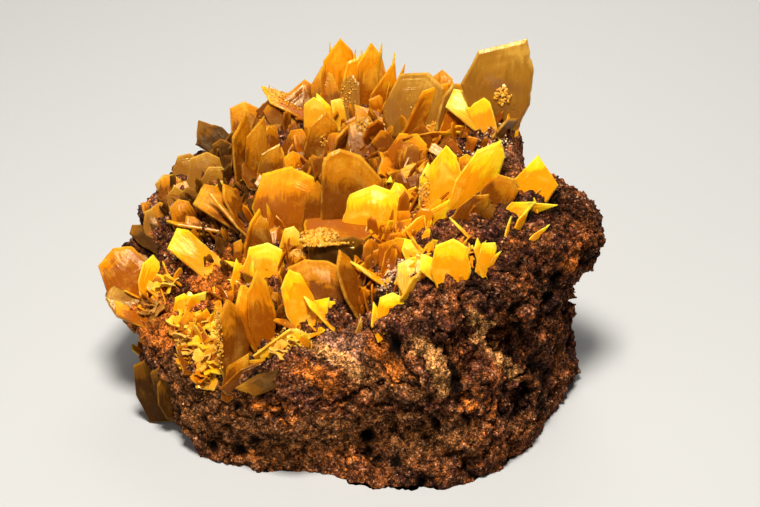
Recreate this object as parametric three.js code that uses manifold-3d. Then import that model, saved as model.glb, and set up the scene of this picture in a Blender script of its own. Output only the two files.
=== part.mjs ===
// A wulfenite specimen: a knobbly block of weathered matrix rock, standing on a flat foot, with thin
// bladed crystals growing out of its sloping top and a few on its left flank.
// Millimetres, +Z up, +X to the specimen's right, -Y to its front, origin in the middle of the foot.
import * as THREE from "three";
import { mergeVertices } from "three/addons/utils/BufferGeometryUtils.js";
import Module from "manifold-3d";

const wasm = await Module();
wasm.setup();

// Matrix rock: a block around BLOCK_CENTRE with half sizes BLOCK_REACH, bounded by broad faces.
const BLOCK_CENTRE = new THREE.Vector3(0, -1, 17);
const BLOCK_REACH = new THREE.Vector3(44, 36, 24);
const BLOCK_GRID = 15;
const EDGE_SHARPNESS = 18;
const COARSE_BUMP = { height: 1.6, spacing: 11 };
const FINE_BUMP = { height: 0.9, spacing: 5 };
const FOOT_CUT = { width: 200, depth: 40 };

// Crystals: how deep a root goes, how thick a blade is, and the clearances that keep solids apart.
const ROOT_DEPTH = 3;
const THICKNESS = { least: 0.3, perWidth: 0.1 };
const BEVEL = 0.9;
const BEVEL_FROM = 6.5;
const CLEARANCE = 0.35;

// Compass degrees from +X, degrees above level, distance from the centre, of each broad face.
const BROAD_FACES = [
  [233, 67, 12.8],
  [-15, 58, 34.8],
  [-8, 3, 42.5],
  [-33, 10, 36],
  [-90, 18, 26.5],
  [-66, 26, 29.5],
  [-137, -3, 37],
  [-112, 8, 31],
  [180, -38, 37],
  [160, 2, 44.4],
  [135, 8, 42],
  [112, 8, 37.5],
  [88, 6, 34.5],
  [50, 4, 39],
  [20, -2, 42],
  [0, -90, 20],
];

// Lumps and hollows: where each one is, how far it reaches, and which way it pushes the surface.
const LUMPS = [
  { at: [43, 1, 29], reach: 10, push: [8.8, 0, 1] }, // shoulder horn
  { at: [44, -2, 20], reach: 6, push: [-3.5, 1, 0] }, // undercut below the horn
  { at: [40, 8, 36], reach: 6, push: [0.5, 0, 2] }, // shoulder crest
  { at: [28, 22, 41], reach: 6, push: [1, 1, 4] }, // pinnacle
  { at: [34, 17, 37], reach: 4, push: [-1, -1, -5] }, // notch
  { at: [-47, 2, 20], reach: 8, push: [-2.5, 1, 2] }, // left wing
  { at: [-30, 20, 26], reach: 13, push: [-1, 4, 4] }, // back left hump
  { at: [-8, 30, 34], reach: 12, push: [0, 2, 2] }, // back rim
  { at: [20, -17, 28], reach: 12, push: [0, -2, 7] }, // front crest
  { at: [27, -19, 18], reach: 5, push: [-2, 5, -1] }, // cave in the front
  { at: [23, -27, 22], reach: 4, push: [-1, 3, 0] }, // pit beside the cave
  { at: [15, -28, 20], reach: 6, push: [0, -3, 1] }, // rib down the front
  { at: [8, -29, 25], reach: 4, push: [0, 2.5, 0] }, // hollow beside the rib
  { at: [4, -32, 7], reach: 6, push: [0, 3.5, 0] }, // arch at the foot
  { at: [-8, -32, 1], reach: 8, push: [0, 4, 0] }, // recess at the foot
  { at: [31, -23, 10], reach: 4, push: [-2, 2, 0] }, // pit low on the right
  { at: [-12, -28, 15], reach: 8, push: [0, -1, 1] }, // boss under the left crest
  { at: [-28, -24, 5], reach: 8, push: [-2, -1.5, 0] }, // left toe
  { at: [-35, -6, 3], reach: 7, push: [-3, 0, 0] }, // left heel
  { at: [-43, -6, 13], reach: 6, push: [3, 1, 0] }, // undercut on the left
];

// Convex blade outlines: across (in widths) and along (in rises), from the root up.
const FORMS = {
  tablet: [[-0.32, 0], [0.32, 0], [0.5, 0.4], [0.42, 0.85], [0.1, 1], [-0.34, 0.9], [-0.5, 0.45]],
  leaf: [[-0.26, 0], [0.26, 0], [0.5, 0.45], [0.3, 0.86], [0.02, 1], [-0.38, 0.76], [-0.48, 0.36]],
  square: [[-0.45, 0], [0.45, 0], [0.5, 0.86], [0.3, 1], [-0.5, 0.9]],
  diamond: [[-0.14, 0], [0.14, 0], [0.5, 0.46], [0.02, 1], [-0.5, 0.54]],
  spear: [[-0.36, 0], [0.36, 0], [0.5, 0.38], [0.06, 1], [-0.46, 0.45]],
  helm: [[-0.2, 0], [0.3, 0], [0.5, 0.35], [0.5, 0.7], [0.36, 1], [-0.3, 0.84], [-0.5, 0.5]],
  roof: [[-0.45, 0], [0.45, 0], [0.5, 0.66], [0.1, 0.94], [-0.24, 1], [-0.5, 0.9]],
  shard: [[-0.4, 0], [0.42, 0], [0.5, 0.6], [0.2, 1], [-0.5, 0.74]],
};

// Crystal colours, by how deep and how pure the crystal is.
const TINTS = {
  yellow: 0xf2ae1a,
  orange: 0xe08a16,
  amber: 0xb9740f,
  brown: 0x8a5a1c,
  tan: 0xc9a05a,
  pale: 0xe9c56c,
};

// The crystals, clump by clump. A blade's root is x, y on top of the rock, or x, y, z on a flank. Its
// tip goes back by one angle and to the right by the next, it is twisted about its own length by the
// third, and then come its width, its rise above the root and its form.
const CLUMPS = {
  tall_blade: ["tan", [
    [[26.8, 19.5], 22, 5, 0, 13.6, 16.6, "helm"],
    [[30.5, 18.5], 30, 8, 25, 3.2, 5.5, "square"],
    [[25.5, 17.5], 28, -16, -18, 5, 6.5, "square"],
    [[25.5, 18.5], 36, -48, 8, 4.8, 9.5, "square"],
    [[28, 17], 40, 42, 65, 5, 5.5, "shard"],
  ]],
  back_plates: ["orange", [
    [[10.5, 21.5], 30, 14, -8, 11.8, 12.8, "tablet"],
    [[11.5, 20.2], 32, 30, 38, 7, 13, "shard"],
    [[17.5, 21], 30, 15, 50, 6, 9, "leaf"],
    [[19.5, 19.5], 40, 25, 15, 6.5, 5.5, "shard"],
    [[15.5, 18], 66, -14, -20, 10, 5, "square"],
    [[8, 21], 45, -52, 15, 6, 10.5, "shard"],
    [[4, 19], 45, -12, 0, 10, 7.5, "tablet"],
  ]],
  back_peak: ["orange", [
    [[-2.4, 30.4], 30, -1, 8, 8.6, 15.6, "leaf"],
    [[-4.6, 29.4], 32, -9, -14, 7, 11, "leaf"],
    [[-0.4, 30.4], 28, 6, 20, 6, 12.4, "tablet"],
    [[-0.8, 27.8], 34, 2, -14, 4.6, 9.2, "tablet"],
    [[-2, 27.2], 38, -4, 28, 4.4, 5.4, "square"],
    [[-4.4, 27.6], 36, -22, 8, 5, 7.5, "diamond"],
    [[3.4, 30.2], 24, -1, 15, 7, 14.6, "leaf"],
    [[5, 30], 30, 2, -25, 5.6, 12.6, "spear"],
    [[5.6, 29.8], 28, 11, 15, 6.4, 10.6, "spear"],
  ]],
  speckled_blade: ["amber", [
    [[-8.6, 31.4], 40, -60, 50, 6, 11.4, "shard"],
    [[-9, 32], 44, -20, 8, 9, 6.6, "shard"],
    [[-12, 30.5], 70, -10, 5, 8, 5, "tablet"],
    [[-14, 28.4], 60, 8, 0, 9, 5, "tablet"],
    [[-20, 29.5], 58, -18, 20, 7.6, 8.6, "tablet"],
    [[-18, 29], 40, 14, -35, 6, 7.5, "tablet"],
  ]],
  amber_upright: ["amber", [
    [[-6, 19.5], 25, 4, 12, 7.6, 9.6, "leaf"],
    [[-3.5, 18], 30, 14, 68, 5, 8, "shard"],
  ]],
  shaded_plate: ["brown", [
    [[6.5, 14], 55, -20, 10, 6.5, 5, "tablet"],
  ]],
  brown_left_plate: ["brown", [
    [[-24.6, 25.8], 46, -52, 14, 6.4, 8.6, "shard"],
    [[-24.4, 25.4], 38, 24, 50, 4.5, 5.2, "leaf"],
  ]],
  narrow_uprights: ["amber", [
    [[-21, 17], 18, -2, 50, 5.5, 14, "shard"],
    [[-19, 16.5], 22, 4, 22, 4.6, 13.5, "shard"],
    [[-16.8, 17], 30, 14, 20, 4.5, 7.5, "shard"],
    [[-24, 15.9], 45, 64, 74, 3, 9.5, "spear"],
  ]],
  tan_round_plate: ["tan", [
    [[-28.4, 18], 37, -6, 0, 7.4, 6, "tablet"],
    [[-27, 16.8], 38, 16, 20, 5.6, 4.4, "tablet"],
  ]],
  left_back_plates: ["orange", [
    [[-32.4, 16], 56, -10, 10, 6, 3.4, "tablet"],
    [[-33, 17], 80, -30, 15, 6, 4, "tablet"],
  ]],
  band_plate: ["amber", [
    [[-20, 7.6], 55, -55, 25, 7, 12, "square"],
    [[-21, 10], 35, -35, 55, 6, 7, "leaf"],
  ]],
  left_thin_plate: ["orange", [
    [[-28, 8.5], 60, -80, 60, 5, 8, "shard"],
  ]],
  left_tip_plates: ["yellow", [
    [[-41, -1.2], 45, -36, 0, 9.8, 9, "tablet"],
    [[-38.5, -1], 40, 8, 30, 5, 6, "leaf"],
    [[-41, -5], 60, -50, 10, 7, 6.5, "tablet"],
    [[-40, -6.5], 50, -62, 35, 5, 6, "shard"],
  ]],
  bright_left_plate: ["yellow", [
    [[-26.2, -0.8], 42, -50, 8, 5.4, 10.4, "square"],
  ]],
  left_slope_plate: ["yellow", [
    [[-31.5, -8], 38, -4, 0, 4, 3.8, "tablet"],
    [[-29.6, -8], 38, 22, 40, 4.4, 4.4, "shard"],
  ]],
  left_slope_curls: ["orange", [
    [[-29.6, -12.6], 45, -16, 12, 4.6, 4.6, "leaf"],
    [[-28, -13.2], 38, 14, 40, 4.4, 5, "leaf"],
    [[-28.2, -14.8], 50, -30, -30, 4.6, 4, "tablet"],
  ]],
  left_slope_leaf: ["amber", [
    [[-28, -18], 40, 52, 10, 4, 5.5, "leaf"],
    [[-29.5, -18.5], 62, -14, 30, 5, 3.6, "square"],
  ]],
  left_foot_curls: ["pale", [
    [[-26.5, -20.5], 45, -20, 15, 4, 4.4, "leaf"],
    [[-25.6, -22], 45, 10, -25, 4.4, 4, "tablet"],
  ]],
  left_great_blade: ["amber", [
    [[-21.2, -22.8], 24, -3, 38, 7.4, 13.6, "leaf"],
    [[-21.6, -25.4], 35, 26, 5, 5.4, 7, "diamond"],
    [[-20.6, -25.2], 42, 50, 34, 3.8, 8, "spear"],
  ]],
  twin_leaves: ["amber", [
    [[-17, -16.8], 28, -18, 44, 6.6, 10.6, "leaf"],
    [[-15.8, -17.4], 26, -8, 20, 5.6, 13, "leaf"],
  ]],
  front_slabs: ["pale", [
    [[-14.8, -20.6], 45, 52, 55, 3.6, 6.4, "square"],
    [[-13.8, -21], 50, 66, 15, 3.6, 5.4, "shard"],
  ]],
  great_plates: ["orange", [
    [[-4.8, -12.8], 38, -6, -6, 12.8, 8.8, "roof"],
    [[1.4, -14], 36, -20, 56, 7.6, 10.4, "leaf"],
    [[-8.5, -15], 34, -19, 16, 6.4, 10.2, "leaf"],
    [[-6.8, -15.6], 38, 24, -30, 4.6, 5, "shard"],
  ]],
  yellow_block: ["yellow", [
    [[-16.4, -4.5], 36, 0, 0, 8.2, 6.4, "tablet"],
    [[-20.2, -5], 35, 20, -35, 3.8, 4.8, "shard"],
    [[-21, -5], 35, -10, 20, 3.8, 5, "spear"],
  ]],
  pale_round: ["pale", [
    [[-11.8, 0.6], 34, 6, 12, 4, 4.8, "tablet"],
  ]],
  narrow_amber: ["orange", [
    [[-19, 1], 28, 10, 55, 5, 8.5, "leaf"],
  ]],
  orange_plate: ["orange", [
    [[-12.6, 5.8], 32, 0, -4, 13, 11.6, "tablet"],
    [[-14, 4.9], 36, -26, 28, 3.6, 6, "spear"],
  ]],
  centre_plates: ["yellow", [
    [[-0.5, 5], 28, 4, 6, 12, 14, "roof"],
    [[4, 2.4], 38, -6, -8, 11.5, 8.3, "tablet"],
    [[-3, 3, 32.4], -90, 6, 0, 14, 7, "shard"],
    [[-7, 4.2], 30, 2, 6, 5.2, 9.4, "leaf"],
    [[11, 5], 38, -44, 12, 3.8, 5.4, "square"],
    [[9.4, 6.4], 38, 46, 24, 3.6, 5.8, "spear"],
  ]],
  sparkling_blade: ["amber", [
    [[-9.6, -3.4], 40, -20, 20, 4.4, 3.6, "tablet"],
  ]],
  bright_group: ["yellow", [
    [[14.6, 2.7], 28, -3, 32, 5, 9.4, "leaf"],
    [[17.6, 2.6], 28, -1, -8, 7.2, 11.8, "leaf"],
    [[20.8, 2.4], 31, 31, 18, 8, 14, "leaf"],
    [[10, -3], 46, 56, 30, 6, 16.5, "leaf"],
  ]],
  right_square: ["yellow", [
    [[34.4, 3.8], 34, 2, 0, 8.4, 7.4, "diamond"],
  ]],
  right_slivers: ["yellow", [
    [[32, -0.5], 55, 78, 50, 3, 6.4, "spear"],
    [[29, -2], 48, 60, 15, 4.2, 6, "diamond"],
  ]],
  front_hex_plate: ["yellow", [
    [[18, -18.8], 34, -3, 6, 7.4, 7, "tablet"],
    [[15.8, -17.4], 42, -46, 30, 4.4, 5, "shard"],
  ]],
  front_right_chip: ["yellow", [
    [[24, -16], 32, 16, 15, 3, 4.4, "square"],
  ]],
  front_crest_chips: ["pale", [
    [[11, -16], 55, -10, 10, 5.4, 5, "tablet"],
    [[11.4, -17.4], 38, 34, 40, 3.8, 6.8, "spear"],
  ]],
  front_low_chips: ["yellow", [
    [[7.4, -20.6], 36, -4, 6, 5.6, 4.5, "tablet"],
    [[5.2, -21], 40, -18, 35, 4, 4.4, "spear"],
  ]],
  flank_plate: ["brown", [
    [[-33.6, -17.4, 5.2], 10, -16, -30, 6, 9, "tablet"],
    [[-33.9, -17.5, 6.4], 12, -8, 24, 5, 6.4, "leaf"],
  ]],
  back_rim_middle: ["orange", [
    [[2, 32], 60, -6, 15, 8, 8.5, "tablet"],
    [[0.5, 32], 50, -30, 40, 5, 7, "leaf"],
  ]],
  back_rim_right: ["amber", [
    [[16, 28], 55, 10, -15, 8, 9, "leaf"],
    [[17.5, 28], 48, 30, 40, 5.5, 7, "shard"],
  ]],
};

const fract = (value) => value - Math.floor(value);
const latticeValue = (i, j, k) => fract(Math.sin(i * 127.1 + j * 311.7 + k * 74.7) * 43758.5453);
const ease = (value) => value * value * (3 - 2 * value);

// Smooth noise between -1 and 1, one lattice step per unit.
function noise(x, y, z) {
  const [i, j, k] = [x, y, z].map(Math.floor);
  const [a, b, c] = [x - i, y - j, z - k].map(ease);
  let total = 0;
  for (const [di, dj, dk] of [0, 1, 2, 3, 4, 5, 6, 7].map((n) => [n & 1, (n >> 1) & 1, n >> 2])) {
    const weight = (di ? a : 1 - a) * (dj ? b : 1 - b) * (dk ? c : 1 - c);
    total += weight * latticeValue(i + di, j + dj, k + dk);
  }
  return 2 * total - 1;
}

const bump = (point, { height, spacing }) =>
  height * noise(point.x / spacing, point.y / spacing, point.z / spacing);

const faceNormals = BROAD_FACES.map(([compass, rise, distance]) => {
  const [c, r] = [compass, rise].map(THREE.MathUtils.degToRad);
  const normal = new THREE.Vector3(Math.cos(c) * Math.cos(r), Math.sin(c) * Math.cos(r), Math.sin(r));
  return { normal, distance };
});

// The point of the rock's surface that lies in a given direction from its centre.
function blockPoint(direction) {
  const way = direction.clone().multiply(BLOCK_REACH);
  const total = faceNormals.reduce(
    (sum, face) => sum + (Math.max(0, face.normal.dot(way)) / face.distance) ** EDGE_SHARPNESS,
    0,
  );
  const point = way.clone().multiplyScalar(total ** (-1 / EDGE_SHARPNESS)).add(BLOCK_CENTRE);
  const moved = point.clone();
  for (const { at, reach, push } of LUMPS) {
    const nearness = Math.exp(-point.distanceToSquared(new THREE.Vector3(...at)) / reach ** 2);
    moved.addScaledVector(new THREE.Vector3(...push), nearness);
  }
  return moved.addScaledVector(way.normalize(), bump(point, COARSE_BUMP) + bump(point, FINE_BUMP));
}

// A sphere made of six square patches, so that no two of its corners crowd together.
function blockGeometry() {
  const geometry = new THREE.BoxGeometry(2, 2, 2, BLOCK_GRID, BLOCK_GRID, BLOCK_GRID);
  const position = geometry.getAttribute("position");
  const corner = new THREE.Vector3();
  for (let i = 0; i < position.count; i += 1) {
    corner.fromBufferAttribute(position, i);
    for (const axis of ["x", "y", "z"]) {
      corner[axis] = Math.tan((corner[axis] * Math.PI) / 4);
    }
    const point = blockPoint(corner.normalize());
    position.setXYZ(i, point.x, point.y, point.z);
  }
  return geometry;
}

function solidOf(source) {
  const geometry = source.clone();
  for (const name of Object.keys(geometry.attributes)) {
    if (name !== "position") {
      geometry.deleteAttribute(name);
    }
  }
  const merged = mergeVertices(geometry, 1e-3);
  const vertProperties = new Float32Array(merged.getAttribute("position").array);
  const triVerts = new Uint32Array(merged.index.array);
  return new wasm.Manifold(new wasm.Mesh({ numProp: 3, vertProperties, triVerts }));
}

function geometryOf(solid) {
  const { vertProperties, triVerts } = solid.getMesh();
  const geometry = new THREE.BufferGeometry();
  geometry.setAttribute("position", new THREE.BufferAttribute(new Float32Array(vertProperties), 3));
  geometry.setIndex(new THREE.BufferAttribute(new Uint32Array(triVerts), 1));
  geometry.computeVertexNormals();
  return geometry;
}

// The rock, cut flat at the foot.
function rockSolid() {
  const below = new THREE.BoxGeometry(FOOT_CUT.width, FOOT_CUT.width, FOOT_CUT.depth);
  below.translate(0, 0, -FOOT_CUT.depth / 2);
  return solidOf(blockGeometry()).subtract(solidOf(below));
}

// The rock's surface moved outwards by the clearance.
function rockSkin(geometry) {
  const grown = geometry.clone();
  const position = grown.getAttribute("position");
  const normal = grown.getAttribute("normal");
  for (let i = 0; i < position.count; i += 1) {
    position.setXYZ(
      i,
      position.getX(i) + CLEARANCE * normal.getX(i),
      position.getY(i) + CLEARANCE * normal.getY(i),
      position.getZ(i) + CLEARANCE * normal.getZ(i),
    );
  }
  return solidOf(grown);
}

// A thin plate standing on z = 0. A bevelled one is full size in its middle plane only.
function plateGeometry(outline, thickness, bevelled) {
  const middle = outline.reduce((sum, point) => sum.add(point), new THREE.Vector2());
  middle.divideScalar(outline.length);
  const smallest = Math.min(...outline.map((point) => point.distanceTo(middle)));
  const inset = 1 - Math.min(0.4, (BEVEL * thickness) / (2 * smallest));
  const half = thickness / 2;
  const layers = bevelled ? [[-half, inset], [0, 1], [half, inset]] : [[-half, 1], [half, 1]];
  const corners = layers.flatMap(([y, scale]) =>
    outline.flatMap((point) => {
      const spot = point.clone().sub(middle).multiplyScalar(scale).add(middle);
      return [spot.x, y, spot.y];
    }));
  const count = outline.length;
  const back = count * (layers.length - 1);
  const triangles = [];
  for (let i = 1; i < count - 1; i += 1) {
    triangles.push(0, i, i + 1, back, back + i + 1, back + i);
  }
  for (let low = 0; low < back; low += count) {
    for (let i = 0; i < count; i += 1) {
      const next = (i + 1) % count;
      triangles.push(low + i, low + count + i, low + next);
      triangles.push(low + next, low + count + i, low + count + next);
    }
  }
  const geometry = new THREE.BufferGeometry();
  geometry.setAttribute("position", new THREE.Float32BufferAttribute(corners, 3));
  geometry.setIndex(triangles);
  return geometry;
}

const sightLine = new THREE.Raycaster();
const DOWN = new THREE.Vector3(0, 0, -1);

function rootPoint(rockMesh, [x, y, z]) {
  if (z !== undefined) {
    return new THREE.Vector3(x, y, z);
  }
  sightLine.set(new THREE.Vector3(x, y, 100), DOWN);
  return sightLine.intersectObject(rockMesh)[0].point;
}

// One blade on the rock, grown all round by the given amount.
function bladeSolid(rockMesh, [root, back, right, twist, width, rise, form], growth) {
  const length = rise + ROOT_DEPTH;
  const thickness = THICKNESS.least + THICKNESS.perWidth * Math.min(width, rise);
  const outline = FORMS[form].map(([across, along]) =>
    new THREE.Vector2(across * (width + 2 * growth), along * (length + 2 * growth) - growth));
  const geometry = plateGeometry(outline, thickness + 2 * growth, width >= BEVEL_FROM);
  geometry.translate(0, 0, -ROOT_DEPTH);
  const [backTurn, rightTurn, ownTurn] = [-back, right, twist].map(THREE.MathUtils.degToRad);
  const turn = new THREE.Matrix4().makeRotationX(backTurn)
    .multiply(new THREE.Matrix4().makeRotationY(rightTurn))
    .multiply(new THREE.Matrix4().makeRotationZ(ownTurn));
  geometry.applyMatrix4(turn);
  geometry.translate(...rootPoint(rockMesh, root));
  return solidOf(geometry);
}

const largerOf = (one, other) => (other.volume() > one.volume() ? other : one);
const largestOf = (solid) => solid.decompose().reduce(largerOf);

const group = new THREE.Group();
const rockMesh = new THREE.Mesh(
  geometryOf(rockSolid()),
  new THREE.MeshStandardMaterial({ color: 0x7a4a30, roughness: 0.95, metalness: 0 }),
);
rockMesh.name = "matrix_rock";
group.add(rockMesh);

let taken = rockSkin(rockMesh.geometry);
for (const [name, [tint, blades]] of Object.entries(CLUMPS)) {
  const clump = blades.map((blade) => bladeSolid(rockMesh, blade, 0)).reduce((a, b) => a.add(b));
  const crystal = largestOf(clump.subtract(taken));
  const around = blades.map((blade) => bladeSolid(rockMesh, blade, CLEARANCE)).reduce((a, b) => a.add(b));
  taken = taken.add(around);
  const mesh = new THREE.Mesh(
    geometryOf(crystal),
    new THREE.MeshStandardMaterial({ color: TINTS[tint], roughness: 0.25, metalness: 0 }),
  );
  mesh.name = name;
  group.add(mesh);
}

export default group;
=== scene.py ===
"""The looks of a wulfenite specimen: weathered matrix rock that carries sprays of bladed crystals.

Lengths are in millimetres until a mesh is made, and a mesh is in metres. +Z is up, +X is the
specimen's right, -Y is its front, and the origin lies on the flat foot under the rock's middle.
"""

import enum
import logging
import math
from dataclasses import dataclass, field

import bpy
import numpy as np
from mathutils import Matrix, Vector
from mathutils.bvhtree import BVHTree


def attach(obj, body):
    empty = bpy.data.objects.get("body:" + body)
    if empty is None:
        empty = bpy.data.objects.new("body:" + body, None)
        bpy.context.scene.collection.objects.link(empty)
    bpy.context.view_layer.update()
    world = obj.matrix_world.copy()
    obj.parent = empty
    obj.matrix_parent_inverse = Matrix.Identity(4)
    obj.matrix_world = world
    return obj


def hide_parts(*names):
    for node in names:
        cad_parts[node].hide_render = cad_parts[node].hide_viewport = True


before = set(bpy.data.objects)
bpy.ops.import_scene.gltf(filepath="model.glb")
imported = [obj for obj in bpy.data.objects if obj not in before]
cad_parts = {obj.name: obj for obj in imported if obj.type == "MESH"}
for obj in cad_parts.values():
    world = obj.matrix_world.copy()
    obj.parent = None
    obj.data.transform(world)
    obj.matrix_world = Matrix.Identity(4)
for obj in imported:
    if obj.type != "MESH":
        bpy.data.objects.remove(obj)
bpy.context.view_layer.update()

LOG = logging.getLogger("specimen")
MM = 0.001
SEED = 6
CRYSTAL_CREASE = 24
GRAIN_CREASE = 30
ROCK_CREASE = 60
Array = np.ndarray
Random = np.random.Generator
Material = bpy.types.Material
Span = tuple[float, float]
Point = tuple[float, float, float]
Colour = tuple[float, float, float]
# From one number to another: where a rise starts and ends, and the results there, 0 and 1 if not given.
Ramp = tuple[float, ...]
# Noise: its width in millimetres, its octaves, their roughness and its warp.
Noise = tuple[float, ...]
# A small form of the rock: its height and width in millimetres and the shift of its noise.
Bump = tuple[float, float, float]

# These turn a lattice place into a number of its own.
HASH_WAY = np.array([127.1, 311.7, 74.7])
HASH_SCALE = 43758.5453
# Noise sums have this many octaves. The shifts keep numbers that come from one place apart.
OCTAVES = 3
OCTAVE_SHIFT = 3.1
SEED_SHIFTS = (17.3, 34.6, 51.9)
NUMBER_SHIFT = 5.7
# More cells than any seed is away, less than any length, and the digits at which points are one.
FAR = 9.0
TINY = 1e-9
WELD_DIGITS = 6


class Form(enum.Enum):
    """Convex blade outlines: across in widths and along in lengths, from the root up."""

    TABLET = ((-0.32, 0), (0.32, 0), (0.5, 0.4), (0.42, 0.85), (0.1, 1), (-0.34, 0.9), (-0.5, 0.45))
    LEAF = ((-0.26, 0), (0.26, 0), (0.5, 0.45), (0.3, 0.86), (0.02, 1), (-0.38, 0.76), (-0.48, 0.36))
    SQUARE = ((-0.45, 0), (0.45, 0), (0.5, 0.86), (0.3, 1), (-0.5, 0.9))
    DIAMOND = ((-0.14, 0), (0.14, 0), (0.5, 0.46), (0.02, 1), (-0.5, 0.54))
    SPEAR = ((-0.36, 0), (0.36, 0), (0.5, 0.38), (0.06, 1), (-0.46, 0.45))
    HELM = ((-0.2, 0), (0.3, 0), (0.5, 0.35), (0.5, 0.7), (0.36, 1), (-0.3, 0.84), (-0.5, 0.5))
    ROOF = ((-0.45, 0), (0.45, 0), (0.5, 0.66), (0.1, 0.94), (-0.24, 1), (-0.5, 0.9))
    SHARD = ((-0.4, 0), (0.42, 0), (0.5, 0.6), (0.2, 1), (-0.5, 0.74))


class Tint(enum.Enum):
    """Crystal colours, by how deep and how pure the crystal is; brown is amber darkened as painted shade for
    crystals in shaded places. The value is the record's slot.
    """

    YELLOW = "wulfenite_yellow"
    ORANGE = "wulfenite_orange"
    AMBER = "wulfenite_amber"
    BROWN = "wulfenite_brown"
    TAN = "wulfenite_tan"
    PALE = "wulfenite_pale"


TABLET, LEAF, SQUARE, DIAMOND, SPEAR, HELM, ROOF, SHARD = Form
YELLOW, ORANGE, AMBER, BROWN, TAN, PALE = Tint

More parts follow.
